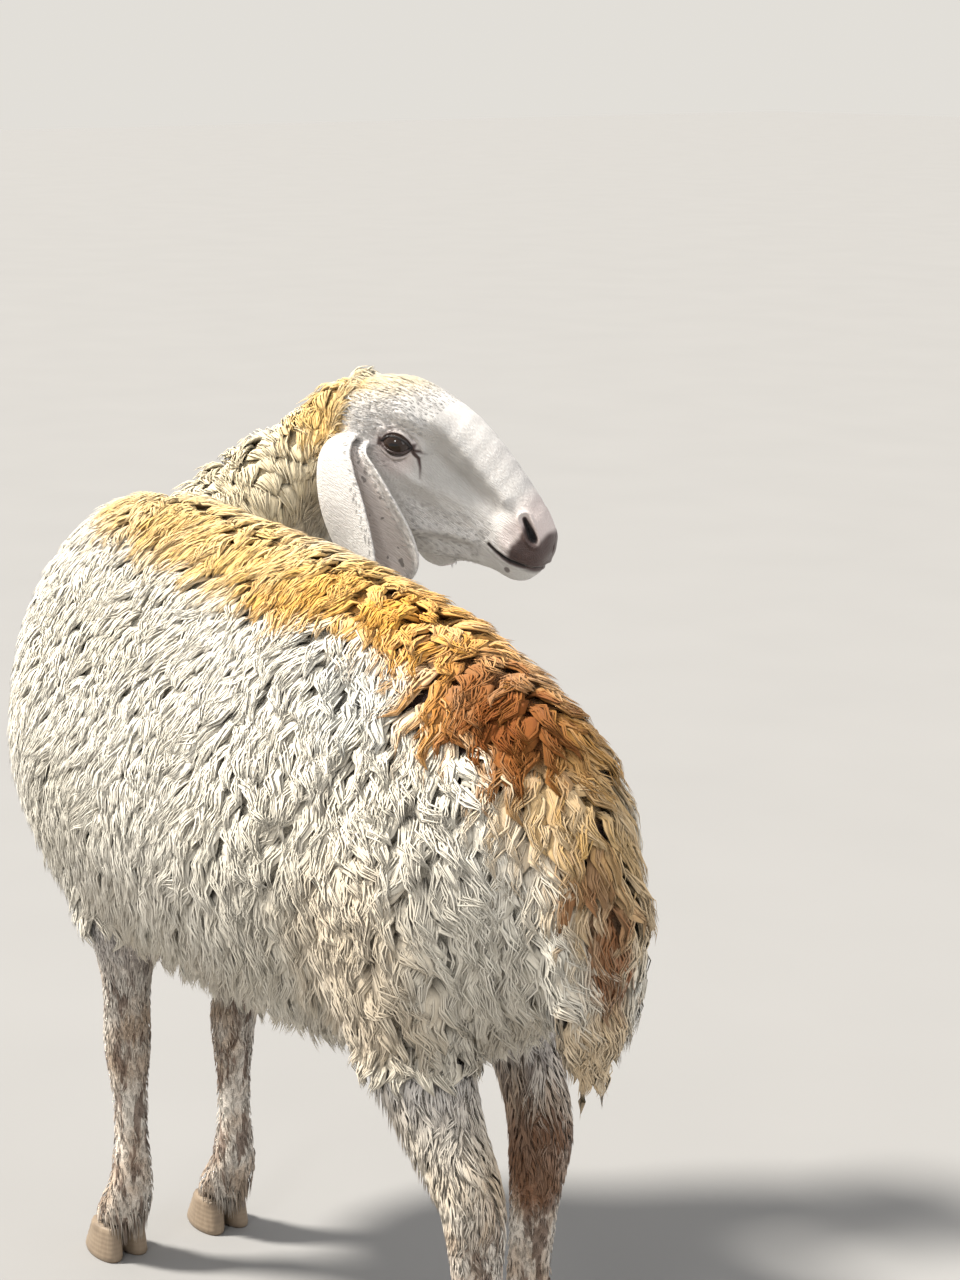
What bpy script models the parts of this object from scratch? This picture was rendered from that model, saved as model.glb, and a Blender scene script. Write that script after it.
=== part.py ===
"""A life-size standing sheep with its fleece, head turned back over its right shoulder.

Frame: +X is where the body faces, +Y its left side, +Z up. Metres. The floor is Z = 0.
Every part of the body is a cage of rings round a line, rounded by subdivision. The cages are
joined into one skin, and thin cuts part that skin into head, neck, trunk, tail and legs.
"""

import math

import bmesh
import bpy
from mathutils import Matrix, Vector

# ---------------------------------------------------------------- driving sizes (metres)
WITHERS = 0.800  # top of the fleece over the shoulders
LENGTH = 0.815  # chest to rump over the fleece
GIRTH_HALF = 0.178  # half the width of the barrel over the fleece
LEG_ROOM = 0.322  # height where the legs leave the trunk
HEAD_LENGTH = 0.268  # poll to the front of the nose
GAP = 0.0003  # clearance between neighbouring solids
HOOF_TOP = 0.036  # where the hair of the pastern ends and the claws begin
EYE_RADIUS = 0.0160

POLL = Vector((0.222, -0.220, 0.876))
NOSE_TIP = Vector((0.018, -0.333, 0.728))

SKIN_VOXEL = 0.0055
SKIN_TRIANGLES = 4600

WOOL = ((0.80, 0.74, 0.64, 1.0), 0.9)
HAIR = ((0.82, 0.78, 0.74, 1.0), 0.8)
HORN = ((0.62, 0.54, 0.43, 1.0), 0.5)
EYE = ((0.03, 0.02, 0.015, 1.0), 0.08)


# ---------------------------------------------------------------- small tools
def material(name, colour, roughness):
    made = bpy.data.materials.new(name)
    made.use_nodes = True
    shader = made.node_tree.nodes["Principled BSDF"]
    shader.inputs["Base Color"].default_value = colour
    shader.inputs["Roughness"].default_value = roughness
    shader.inputs["Metallic"].default_value = 0.0
    return made


def new_object(name, mesh, collection, finish=None):
    made = bpy.data.objects.new(name, mesh)
    collection.objects.link(made)
    if finish:
        mesh.materials.clear()
        mesh.materials.append(finish)
    return made


def applied(obj, name):
    """A mesh with the object's modifiers and its place applied; the object goes."""
    bpy.context.view_layer.update()
    mesh = bpy.data.meshes.new_from_object(obj.evaluated_get(bpy.context.evaluated_depsgraph_get()))
    mesh.transform(obj.matrix_world)
    mesh.name = name
    bpy.data.objects.remove(obj)
    return mesh


def spline(values, t):
    """A smooth curve through the values, read at t, which counts from value to value."""
    last = len(values) - 1
    i = min(int(t), last - 1)
    f = t - i
    before, a = values[max(i - 1, 0)], values[i]
    b, after = values[i + 1], values[min(i + 2, last)]
    slope_a, slope_b = (b - before) * 0.5, (after - a) * 0.5
    return (
        a * (2 * f**3 - 3 * f**2 + 1)
        + slope_a * (f**3 - 2 * f**2 + f)
        + b * (3 * f**2 - 2 * f**3)
        + slope_b * (f**3 - f**2)
    )


def oval(half_width, up, down, pinch=0.0, points=12):
    """A closed outline, (sideways, up): an oval with its own rise and drop, narrowed at the top by pinch."""
    outline = []
    for k in range(points):
        a = 2 * math.pi * k / points
        side, rise = math.cos(a), math.sin(a)
        side *= 1 - pinch * max(rise, 0.0)
        outline.append((half_width * side, (up if rise > 0 else down) * rise))
    return outline


def cage(rings, strips=False):
    """A closed cage round rings of as many points, its ends one face each or a strip of four-sided faces."""
    shape = bmesh.new()
    rows = [[shape.verts.new(p) for p in ring] for ring in rings]
    count = len(rows[0])
    for near, far in zip(rows, rows[1:]):
        for k in range(count):
            n = (k + 1) % count
            shape.faces.new((near[k], near[n], far[n], far[k]))
    for row in (rows[0], rows[-1]):
        if strips:
            for k in range(count // 2 - 1):
                shape.faces.new((row[k], row[k + 1], row[count - 2 - k], row[count - 1 - k]))
        else:
            shape.faces.new(row)
    bmesh.ops.recalc_face_normals(shape, faces=shape.faces)
    return shape


def limb(name, stations, collection, up_hint=Vector((0, 0, 1)), points=12, per_span=2):
    """A rounded form along a line. A station is (centre, half width, rise, drop, pinch)."""
    centres = [Vector(s[0]) for s in stations]
    sizes = [Vector(s[1:4]) for s in stations]
    pinches = [Vector((s[4] if len(s) > 4 else 0.0, 0, 0)) for s in stations]
    rings = []
    spans = (len(stations) - 1) * per_span
    for n in range(spans + 1):
        t = n / per_span
        centre = spline(centres, t)
        ahead = (spline(centres, min(t + 0.05, len(centres) - 1)) - spline(centres, max(t - 0.05, 0))).normalized()
        side = up_hint.cross(ahead).normalized()
        up = ahead.cross(side)
        half_width, rise, drop = spline(sizes, t)
        outline = oval(half_width, rise, drop, spline(pinches, t).x, points)
        rings.append([centre + side * w + up * v for w, v in outline])
    return rounded(name, cage(rings), collection)


def rounded(name, shape, collection, levels=2, finish=None):
    mesh = bpy.data.meshes.new(name)
    shape.to_mesh(mesh)
    shape.free()
    made = new_object(name, mesh, collection, finish)
    soft = made.modifiers.new("rounded", "SUBSURF")
    soft.levels = soft.render_levels = levels
    return made


# ---------------------------------------------------------------- trunk, neck and tail
def trunk(collection):
    """Stations run from the rump to the breast: X, top, bottom, half width, pinch of the back."""
    rump = -0.406
    profile = (
        (rump, 0.590, 0.490, 0.035, 0.10),
        (rump + 0.026, 0.664, 0.430, 0.088, 0.20),
        (-0.310, 0.726, 0.385, 0.128, 0.30),
        (-0.210, 0.759, 0.350, 0.155, 0.34),
        (-0.080, 0.779, 0.334, GIRTH_HALF, 0.34),
        (0.060, 0.792, 0.334, 0.178, 0.36),
        (0.165, WITHERS, 0.337, 0.172, 0.36),
        (0.260, 0.804, 0.348, 0.162, 0.32),
        (0.340, 0.766, 0.385, 0.130, 0.22),
        (rump + LENGTH, 0.672, 0.450, 0.074, 0.10),
    )
    stations = []
    for x, top, bottom, half_width, pinch in profile:
        middle = bottom + 0.46 * (top - bottom)
        stations.append(((x, 0, middle), half_width, top - middle, middle - bottom, pinch))
    return limb("trunk_form", stations, collection, points=16)


def neck(collection):
    """From inside the shoulders, forward and up, then round to the right to the poll."""
    stations = (
        ((0.215, 0.000, 0.560), 0.110, 0.135, 0.150),
        ((0.275, -0.015, 0.630), 0.102, 0.105, 0.135),
        ((0.292, -0.070, 0.700), 0.089, 0.080, 0.116),
        ((0.272, -0.137, 0.762), 0.079, 0.066, 0.102),
        ((0.240, -0.188, 0.812), 0.066, 0.058, 0.080),
        ((0.203, -0.222, 0.835), 0.058, 0.050, 0.070),
    )
    return limb("neck_form", stations, collection)


def tail(collection):
    """The broad fat tail, hanging from the rump, with a narrower woolly end."""
    stations = (
        ((-0.330, 0.000, 0.640), 0.050, 0.045, 0.050),
        ((-0.378, 0.000, 0.600), 0.056, 0.045, 0.045),
        ((-0.410, 0.000, 0.540), 0.058, 0.036, 0.042),
        ((-0.420, 0.000, 0.475), 0.052, 0.028, 0.038),
        ((-0.416, 0.000, 0.430), 0.038, 0.024, 0.030),
        ((-0.412, 0.000, 0.395), 0.024, 0.018, 0.022),
        ((-0.410, 0.000, 0.372), 0.012, 0.011, 0.012),
    )
    return limb("tail_form", stations, collection, up_hint=Vector((-1, 0, 0)))


# ---------------------------------------------------------------- legs
FOOT_SHIFTS = {  # how far each foot stands forward of, and outward from, its plain place
    "front_left": (-0.006, 0.000),
    "front_right": (-0.016, -0.010),
    "hind_left": (-0.034, -0.004),
    "hind_right": (0.083, 0.000),
}


def leg_stations(which):
    """The line of a leg from inside the body to the pastern, with the side to side and fore and aft sizes."""
    fore, out = FOOT_SHIFTS[which]
    hand = 1 if which.endswith("left") else -1
    if which.startswith("front"):
        line = (
            # X, out from the middle, Z, half width, front, back
            (0.215, 0.060, 0.600, 0.045, 0.070, 0.070),
            (0.212, 0.080, 0.530, 0.062, 0.094, 0.098),
            (0.208, 0.090, 0.450, 0.056, 0.072, 0.080),
            (0.205, 0.082, 0.370, 0.038, 0.044, 0.050),
            (0.220, 0.072, 0.315, 0.029, 0.030, 0.036),
            (0.232, 0.066, 0.265, 0.0270, 0.027, 0.032),
            (0.235, 0.065, 0.235, 0.0260, 0.0260, 0.0300),
            (0.234, 0.064, 0.190, 0.0200, 0.0200, 0.0230),
            (0.234, 0.064, 0.135, 0.0195, 0.0200, 0.0225),
            (0.235, 0.064, 0.097, 0.0245, 0.0225, 0.0280),
            (0.243, 0.064, 0.072, 0.0260, 0.0230, 0.0300),
            (0.259, 0.064, 0.048, 0.0255, 0.0230, 0.0280),
            (0.268, 0.064, 0.030, 0.0280, 0.0270, 0.0260),
        )
    else:
        line = (
            (-0.235, 0.055, 0.660, 0.035, 0.060, 0.060),
            (-0.236, 0.076, 0.590, 0.056, 0.092, 0.092),
            (-0.236, 0.090, 0.510, 0.064, 0.106, 0.110),
            (-0.250, 0.090, 0.440, 0.056, 0.074, 0.086),
            (-0.274, 0.086, 0.370, 0.044, 0.046, 0.043),
            (-0.304, 0.084, 0.315, 0.034, 0.036, 0.030),
            (-0.328, 0.083, 0.272, 0.029, 0.036, 0.034),
            (-0.330, 0.082, 0.232, 0.0250, 0.036, 0.0300),
            (-0.326, 0.080, 0.180, 0.0220, 0.0310, 0.0235),
            (-0.322, 0.078, 0.130, 0.0215, 0.0260, 0.0225),
            (-0.319, 0.076, 0.097, 0.0240, 0.0225, 0.0270),
            (-0.311, 0.076, 0.072, 0.0255, 0.0230, 0.0290),
            (-0.298, 0.076, 0.048, 0.0255, 0.0230, 0.0270),
            (-0.292, 0.076, 0.030, 0.0280, 0.0270, 0.0260),
        )
    stations = []
    shoulder = line[0][2]
    for x, y, z, half_width, front, back in line:
        reach = min(1.0, max(0.0, (shoulder - z) / (shoulder - 0.25)))
        stations.append(((x + fore * reach, hand * (y + out * reach), z), half_width, front, back))
    return stations


def leg(which, collection):
    return limb(f"leg_{which}_form", leg_stations(which), collection, up_hint=Vector((1, 0, 0)))


def claw(name, which, inner, collection):
    """One claw of a cloven hoof: flat beneath, upright inside, sloped in front."""
    foot = leg_stations(which)[-1][0]
    hand = 1 if foot[1] > 0 else -1
    turn = -hand if inner else hand
    rows = (
        # height, heel, toe, inner wall, outer wall
        (HOOF_TOP - GAP, -0.0245, 0.022, 0.0024, 0.0255),
        (HOOF_TOP * 0.55, -0.0260, 0.032, 0.0020, 0.0275),
        (0.003, -0.0270, 0.038, 0.0016, 0.0285),
        (0.0, -0.0260, 0.037, 0.0021, 0.0275),
    )
    rings = []
    for height, heel, toe, near, far in rows:
        middle, half = (near + far) / 2, (far - near) / 2
        ring = []
        for k in range(14):
            a = 2 * math.pi * k / 14
            along, across = math.cos(a), math.sin(a)
            x = toe * along if along > 0 else -heel * along
            narrow = 1 - 0.55 * max(along, 0.0) ** 2 * (0.4 + 0.6 * (across > 0))
            y = middle + half * math.copysign(abs(across) ** 0.8, across) * narrow
            ring.append(Vector((foot[0] + x, foot[1] + turn * y, height)))
        rings.append(ring)
    shape = cage(rings)
    mesh = bpy.data.meshes.new(name)
    shape.to_mesh(mesh)
    shape.free()
    return new_object(name, mesh, collection)


# ---------------------------------------------------------------- head
def head_frame():
    """Matrix from the head's own axes to the body's: X to the nose, Y to the head's left, Z to its crown."""
    ahead = (NOSE_TIP - POLL).normalized()
    left = Vector((0, 0, 1)).cross(ahead).normalized()
    crown = ahead.cross(left)
    return Matrix.Translation(POLL) @ Matrix((ahead, left, crown)).transposed().to_4x4()


def head_outline(top, brow, eye, cheek, jaw, bottom):
    """A closed outline from the (half width, height) of each feature down one side."""
    side = [brow, eye, cheek, jaw]
    right = [(-w, v) for w, v in side]
    return [(0.0, top)] + side + [(0.0, bottom)] + list(reversed(right))


def head(collection):
    """Rings from the back of the skull to the lips, in the head's own axes."""
    k = HEAD_LENGTH / 0.268
    rows = (
        # along, crown, brow, eye line, cheek, jaw, throat
        (-0.030, 0.010, (0.030, 0.004), (0.046, -0.014), (0.046, -0.045), (0.028, -0.072), -0.080),
        (0.000, 0.030, (0.038, 0.022), (0.056, -0.002), (0.056, -0.045), (0.036, -0.088), -0.100),
        (0.030, 0.046, (0.042, 0.038), (0.062, 0.006), (0.060, -0.050), (0.038, -0.104), -0.118),
        (0.060, 0.056, (0.044, 0.047), (0.064, 0.012), (0.057, -0.052), (0.036, -0.110), -0.124),
        (0.088, 0.061, (0.042, 0.051), (0.057, 0.016), (0.050, -0.046), (0.031, -0.106), -0.119),
        (0.120, 0.062, (0.033, 0.053), (0.043, 0.020), (0.041, -0.036), (0.026, -0.098), -0.111),
        (0.155, 0.054, (0.027, 0.047), (0.034, 0.018), (0.034, -0.028), (0.021, -0.085), -0.097),
        (0.190, 0.043, (0.024, 0.036), (0.030, 0.009), (0.033, -0.026), (0.020, -0.068), -0.080),
        (0.220, 0.032, (0.022, 0.025), (0.031, 0.002), (0.035, -0.026), (0.021, -0.057), -0.066),
        (0.247, 0.020, (0.020, 0.013), (0.028, -0.003), (0.032, -0.026), (0.022, -0.052), -0.062),
        (0.268, 0.002, (0.013, -0.003), (0.018, -0.010), (0.021, -0.024), (0.014, -0.040), -0.050),
    )
    place = head_frame()
    rings = []
    for along, top, brow, eye, cheek, jaw, bottom in rows:
        outline = head_outline(top, brow, eye, cheek, jaw, bottom)
        rings.append([place @ (Vector((along, -w, v)) * k) for w, v in outline])
    return rounded("head_form", cage(rings), collection)


EYE_PLACE = Vector((0.082, 0.0455, 0.001))  # in the head's axes, for its left eye


def eye_centre(hand):
    return head_frame() @ Vector((EYE_PLACE.x, hand * EYE_PLACE.y, EYE_PLACE.z))


def eyeball(name, hand, radius, collection):
    ball = bmesh.new()
    bmesh.ops.create_uvsphere(ball, u_segments=16, v_segments=10, radius=radius)
    mesh = bpy.data.meshes.new(name)
    ball.to_mesh(mesh)
    ball.free()
    made = new_object(name, mesh, collection)
    made.location = eye_centre(hand)
    return made


EAR_LENGTH = 0.144  # from the bend at its root to its tip
EAR_WIDTH = 0.152  # laid flat
EAR_THICKNESS = 0.0052
EAR_FOLD_FROM = 0.47  # share of the width that stays flat in front of the fold
EAR_FOLD_SHARE = 0.22
EAR_LEAF = ((0.42, 172), (0.56, 176), (0.76, 177), (1.00, 172), (1.06, 158), (0.84, 140), (0.30, 120))
# at each place down the ear: its share of the width, and how far round it is folded, in degrees


def ear(name, hand, collection, finish):
    """A long leaf that stands out from the head and then hangs, its back edge folded outward and forward."""
    turn = head_frame().to_3x3()
    outward = (turn @ Vector((0, hand, 0))).normalized()
    ahead = turn @ Vector((1, 0, 0))
    level = Vector((ahead.x, ahead.y, 0)).normalized()
    down = Vector((0, 0, -1))
    root = head_frame() @ Vector((0.042, hand * 0.040, -0.022))
    bend = head_frame() @ Vector((0.044, hand * 0.076, -0.024))
    line = (
        root,
        bend,
        bend + outward * 0.010 + down * 0.020 + level * 0.002,
        bend + outward * 0.013 + down * 0.056 + level * 0.015,
        bend + outward * 0.009 + down * 0.098 + level * 0.033,
        bend + outward * 0.004 + down * 0.130 + level * 0.045,
        bend + outward * 0.002 + down * EAR_LENGTH + level * 0.050,
    )
    leaf = [Vector(row) for row in EAR_LEAF]
    rings = []
    steps = 6
    for n in range(steps + 1):
        t = n / steps * (len(line) - 1)
        share, fold = spline(leaf, t)
        before, after = spline(line, max(t - 0.1, 0)), spline(line, min(t + 0.1, len(line) - 1))
        along = (after - before).normalized()
        side = (level - along * level.dot(along)).normalized()
        over = along.cross(side) * -hand
        rings.append(ear_section(spline(line, t), side, over, EAR_WIDTH * share, math.radians(fold)))
    return rounded(name, cage(rings, strips=True), collection, levels=1, finish=finish)


def ear_section(centre, side, over, width, fold):
    """A ring round the folded leaf: from its front rim back, over and forward, and home along the hollow."""
    across, fine = 6, 8
    heading, place = [], [Vector((0, 0))]
    for n in range(across * fine + 1):
        u = min(1.0, max(0.0, (n / (across * fine) - EAR_FOLD_FROM) / EAR_FOLD_SHARE))
        heading.append(fold * u * u * (3 - 2 * u))
    for angle in heading[:-1]:
        place.append(place[-1] + Vector((-math.cos(angle), math.sin(angle))) * width / (across * fine))
    middle = sum(place, Vector((0, 0))) / len(place)
    outer, inner = [], []
    for k in range(across + 1):
        angle, point = heading[k * fine], place[k * fine] - middle
        rim = abs(2 * k / across - 1)
        half = EAR_THICKNESS / 2 * (1 - 0.25 * rim**3)
        normal = Vector((-math.sin(angle), -math.cos(angle))) * half
        for row, p in ((outer, point + normal), (inner, point - normal)):
            row.append(centre + side * p.x + over * p.y)
    return outer + list(reversed(inner))


# ---------------------------------------------------------------- one skin, then parted
HEAD_CUT_TILT = math.radians(-20)  # the plane from poll to throat leans this far from the head's own
HEAD_CUT = ((0.176, 0.0, -0.045), (0.36, 0.16, 0.24))  # middle and whole lengths of the box that holds the head
TAIL_CUT = ((-0.452, 0.0, 0.432), (0.160, 0.132, 0.206))
NECK_CUT = (0.280, -0.030, 0.660)  # a place on the plane from withers to breast, and the way it faces
NECK_AHEAD = (0.75, -0.35, 0.56)
NECK_CUT_SIZE = 0.7
LEG_CUT_AHEAD = 0.02  # the legs' boxes stand this far before the knee
LEG_CUT_OUT = 0.104
LEG_CUT_BELOW = 0.02
LEG_CUT_SIZE = (0.26, 0.20)
KNEE = 6  # the knee's and the hock's place in the rows of a leg


def whole_body(collection, workshop):
    forms = [trunk(workshop), neck(workshop), tail(workshop), head(workshop)]
    forms += [leg(which, workshop) for which in FOOT_SHIFTS]
    joined = bmesh.new()
    for form in forms:
        mesh = applied(form, form.name)
        joined.from_mesh(mesh)
        bpy.data.meshes.remove(mesh)
    mesh = bpy.data.meshes.new("body")
    joined.to_mesh(mesh)
    joined.free()
    body = new_object("body", mesh, workshop)
    union = body.modifiers.new("one_skin", "REMESH")
    union.mode = "VOXEL"
    union.voxel_size = SKIN_VOXEL
    ease = body.modifiers.new("eased", "SMOOTH")
    ease.factor = 0.5
    ease.iterations = 8
    mesh = applied(body, "body")
    body = new_object("body", mesh, workshop)
    fewer = body.modifiers.new("fewer", "DECIMATE")
    mesh.calc_loop_triangles()
    fewer.ratio = SKIN_TRIANGLES / len(mesh.loop_triangles)
    return new_object("body", applied(body, "body"), workshop)


def block(name, place, size, workshop):
    """A box that cuts. Place is a matrix, size the whole lengths along its axes."""
    shape = bmesh.new()
    bmesh.ops.create_cube(shape, size=1.0, matrix=place @ Matrix.Diagonal((*size, 1.0)))
    mesh = bpy.data.meshes.new(name)
    shape.to_mesh(mesh)
    shape.free()
    made = new_object(name, mesh, workshop)
    made.hide_render = True
    made.display_type = "WIRE"
    return made


def boolean(target, cutter, operation, name, workshop):
    cut = target.modifiers.new(operation.lower(), "BOOLEAN")
    cut.operation = operation
    cut.solver = "EXACT"
    cut.object = cutter
    return new_object(name, applied(target, name), workshop)


def parted(body, name, place, size, workshop):
    """Cuts the box's share off the body. Returns (the share, what is left), a gap apart."""
    inside = block(f"{name}_inside", place, size, workshop)
    outside = block(f"{name}_outside", place, [s + 2 * GAP for s in size], workshop)
    twin = new_object("twin", body.data.copy(), workshop)
    share = boolean(twin, inside, "INTERSECT", name, workshop)
    rest = boolean(body, outside, "DIFFERENCE", "body", workshop)
    for used in (inside, outside):
        bpy.data.objects.remove(used)
    return share, rest


def finished(piece, collection, finish, name=None):
    """Puts a piece among the sheep's own, with its finish."""
    name = name or piece.name.split(".")[0]
    mesh = applied(piece, name)
    made = new_object(name, mesh, collection, finish)
    mesh.shade_smooth()
    return made


def stood_on_origin(collection):
    """Moves the sheep so that the middle of its box, at floor level, is the origin."""
    points = [v.co for piece in collection.objects for v in piece.data.vertices]
    low = Vector([min(p[axis] for p in points) for axis in range(3)])
    high = Vector([max(p[axis] for p in points) for axis in range(3)])
    middle = Vector(((low.x + high.x) / 2, (low.y + high.y) / 2, low.z))
    for piece in collection.objects:
        piece.data.transform(Matrix.Translation(-middle))


def build():
    for old in list(bpy.data.objects):
        bpy.data.objects.remove(old)
    sheep = bpy.data.collections.new("sheep")
    workshop = bpy.data.collections.new("workshop")
    for group in (sheep, workshop):
        bpy.context.scene.collection.children.link(group)
    wool, hair = material("wool", *WOOL), material("hair", *HAIR)
    horn, dark = material("horn", *HORN), material("eye", *EYE)

    body = whole_body(sheep, workshop)
    around = new_object("around", body.data.copy(), workshop)
    clear = around.modifiers.new("clear", "DISPLACE")
    clear.strength = GAP
    clear.mid_level = 0.0
    around = new_object("around", applied(around, "around"), workshop)
    for side, hand in (("left", 1), ("right", -1)):
        leaf = ear(f"ear_{side}_form", hand, workshop, None)
        leaf = boolean(leaf, around, "DIFFERENCE", f"ear_{side}", workshop)
        finished(leaf, sheep, hair)
        socket = eyeball(f"socket_{side}", hand, EYE_RADIUS + GAP, workshop)
        body = boolean(body, socket, "DIFFERENCE", "body", workshop)
        finished(eyeball(f"eye_{side}", hand, EYE_RADIUS, workshop), sheep, dark)
        bpy.data.objects.remove(socket)

    under = block("under_pasterns", Matrix.Translation((0, 0, HOOF_TOP - 0.5)), (2, 2, 1), workshop)
    body = boolean(body, under, "DIFFERENCE", "body", workshop)

    # the head's share ends on a plane from the poll to the throat, the neck's on one from withers to breast
    middle, size = HEAD_CUT
    head_tilt = head_frame() @ Matrix.Rotation(HEAD_CUT_TILT, 4, "Y")
    piece, body = parted(body, "head", head_tilt @ Matrix.Translation(middle), size, workshop)
    finished(piece, sheep, hair)

    for which in FOOT_SHIFTS:
        knee = leg_stations(which)[KNEE][0]
        side = math.copysign(LEG_CUT_OUT, knee[1])
        middle = (LEG_ROOM + HOOF_TOP - LEG_CUT_BELOW) / 2
        place = Matrix.Translation((knee[0] + LEG_CUT_AHEAD, side, middle))
        size = (*LEG_CUT_SIZE, LEG_ROOM - HOOF_TOP + LEG_CUT_BELOW)
        piece, body = parted(body, f"leg_{which}", place, size, workshop)
        finished(piece, sheep, hair)
        for inner in (True, False):
            finished(claw(f"claw_{which}_{'inner' if inner else 'outer'}", which, inner, workshop), sheep, horn)

    middle, size = TAIL_CUT
    piece, body = parted(body, "tail", Matrix.Translation(middle), size, workshop)
    finished(piece, sheep, wool)

    turn = Vector(NECK_AHEAD).to_track_quat("Z", "Y").to_matrix().to_4x4()
    in_front = Matrix.Translation((0, 0, NECK_CUT_SIZE / 2))
    piece, body = parted(body, "neck", Matrix.Translation(NECK_CUT) @ turn @ in_front, (NECK_CUT_SIZE,) * 3, workshop)
    finished(piece, sheep, wool)
    finished(body, sheep, wool, "trunk")

    for left_over in list(workshop.objects):
        bpy.data.objects.remove(left_over)
    bpy.data.collections.remove(workshop)
    stood_on_origin(sheep)


build()
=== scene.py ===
"""The looks of a standing sheep in full fleece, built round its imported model.

One skin stands for the nodes of flesh. Over it grow locks of wool on the body and neck, short hair on
face, ears and legs. Places are given in the sheep's own axes: +X where the body faces, +Y its left, +Z up,
with the origin on the floor under the middle of the trunk. SHIFT carries them into the frame.
"""

import math

import bmesh
import bpy
import numpy as np
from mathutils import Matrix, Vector
from mathutils.bvhtree import BVHTree


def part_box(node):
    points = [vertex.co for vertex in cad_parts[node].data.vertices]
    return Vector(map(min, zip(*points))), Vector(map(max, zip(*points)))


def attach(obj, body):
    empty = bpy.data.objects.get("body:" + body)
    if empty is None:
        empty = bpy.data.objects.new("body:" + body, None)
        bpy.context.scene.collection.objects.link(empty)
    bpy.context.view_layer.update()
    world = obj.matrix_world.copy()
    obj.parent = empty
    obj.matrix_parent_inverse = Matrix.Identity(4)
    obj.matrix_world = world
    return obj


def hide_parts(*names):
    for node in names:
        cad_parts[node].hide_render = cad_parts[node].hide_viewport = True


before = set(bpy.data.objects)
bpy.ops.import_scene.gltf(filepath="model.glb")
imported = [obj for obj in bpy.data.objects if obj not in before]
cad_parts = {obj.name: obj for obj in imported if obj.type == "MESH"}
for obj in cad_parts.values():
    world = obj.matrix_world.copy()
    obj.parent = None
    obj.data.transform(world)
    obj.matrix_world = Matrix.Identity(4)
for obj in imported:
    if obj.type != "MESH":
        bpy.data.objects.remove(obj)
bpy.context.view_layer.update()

# ---------------------------------------------------------------- driving sizes (metres)
POLL_DRAWN = np.array((0.222, -0.220, 0.876))  # back of the skull
NOSE_DRAWN = np.array((0.018, -0.333, 0.728))
EYE_PLACE = (0.082, 0.0455, 0.001)  # along the head, out from its middle, towards the crown
EYE_RADIUS = 0.016
EAR_LENGTH = 0.144  # from the bend at its root to its tip
EAR_WIDTH = 0.152  # laid flat
EAR_THICKNESS = 0.0052
EAR_FOLD_FROM = 0.47  # share of the width that stays flat in front of the fold
EAR_FOLD_SHARE = 0.22  # and the share that the fold itself takes
EAR_RIM_CURL = math.radians(70)  # how far the front rim stands up
HEAD_HAIR = 0.0012  # depth of the hair over the face
BODY_VOXEL = 0.0060  # how finely the skin of the body is meshed
HEAD_VOXEL = 0.0019  # and that of the head
LEFT, RIGHT = 1, -1  # hands: the sides of the head
FLESH = ["head", "neck", "trunk", "tail"]
LEGS = ["leg_front_left", "leg_front_right", "leg_hind_left", "leg_hind_right"]


def unit(vectors):
    """Vectors made one long."""
    return vectors / np.maximum(np.linalg.norm(vectors, axis=-1, keepdims=True), 1e-12)


AHEAD = unit(NOSE_DRAWN - POLL_DRAWN)
HEAD_LEFT = unit(np.cross((0.0, 0.0, 1.0), AHEAD))
CROWN = np.cross(AHEAD, HEAD_LEFT)
HEAD_AXES = np.array((AHEAD, HEAD_LEFT, CROWN))


def middle_of(node):
    """The middle of a node's box."""
    low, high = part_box(node)
    return np.array((low + high) / 2)


EYES_MIDDLE = (middle_of("eye_left") + middle_of("eye_right")) / 2
SHIFT = EYES_MIDDLE - (POLL_DRAWN + AHEAD * EYE_PLACE[0] + CROWN * EYE_PLACE[2])
POLL = POLL_DRAWN + SHIFT


def in_head(points):
    """Frame points in the head's axes: along it, to its left, towards its crown."""
    return (points - POLL) @ HEAD_AXES.T


def from_head(points):
    """Places in the head's axes as frame points."""
    return np.asarray(points) @ HEAD_AXES + POLL


def ease(low, high, values):
    """0 below low, 1 above high, smooth between."""
    t = np.clip((values - low) / (high - low), 0.0, 1.0)
    return t * t * (3 - 2 * t)


def mix(a, b, t):
    """a where t is 0, b where it is 1, and in proportion between."""
    return a + (b - a) * t


def bell(distances, reach):
    """1 at no distance, falling off to nearly 0 at twice the reach."""
    return np.exp(-((distances / reach) ** 2))


# ---------------------------------------------------------------- meshes
def read(items, field, width, kind=np.float32):
    """One field of all the items, such as the places of points, in rows of that many numbers."""
    values = np.empty(len(items) * width, kind)
    items.foreach_get(field, values)
    return values.reshape(-1, width)


def points_of(mesh):
    """The places of the mesh's points."""
    return read(mesh.vertices, "co", 3).astype(float)


def normals_of(mesh):
    """The normals at the mesh's points."""
    return read(mesh.vertex_normals, "vector", 3).astype(float)


def edges_of(mesh):
    """The numbers of the two points that each edge of the mesh joins."""
    return read(mesh.edges, "vertices", 2, np.int32)


def arrays(mesh):
    """Points and triangles of a mesh."""
    mesh.calc_loop_triangles()
    return points_of(mesh), read(mesh.loop_triangles, "vertices", 3, np.int32)


def new_mesh(name, points, faces):
    """A mesh from points and faces that all have as many corners."""
    mesh = bpy.data.meshes.new(name)
    mesh.vertices.add(len(points))
    mesh.vertices.foreach_set("co", points.astype(np.float32).ravel())
    mesh.loops.add(faces.size)
    mesh.loops.foreach_set("vertex_index", faces.astype(np.int32).ravel())
    mesh.polygons.add(len(faces))
    mesh.polygons.foreach_set("loop_start", np.arange(0, faces.size, faces.shape[1], dtype=np.int32))
    mesh.update(calc_edges=True)
    return mesh


def new_object(name, mesh):
    """An object of the mesh, put in the scene."""
    made = bpy.data.objects.new(name, mesh)
    bpy.context.scene.collection.objects.link(made)
    return made


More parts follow.
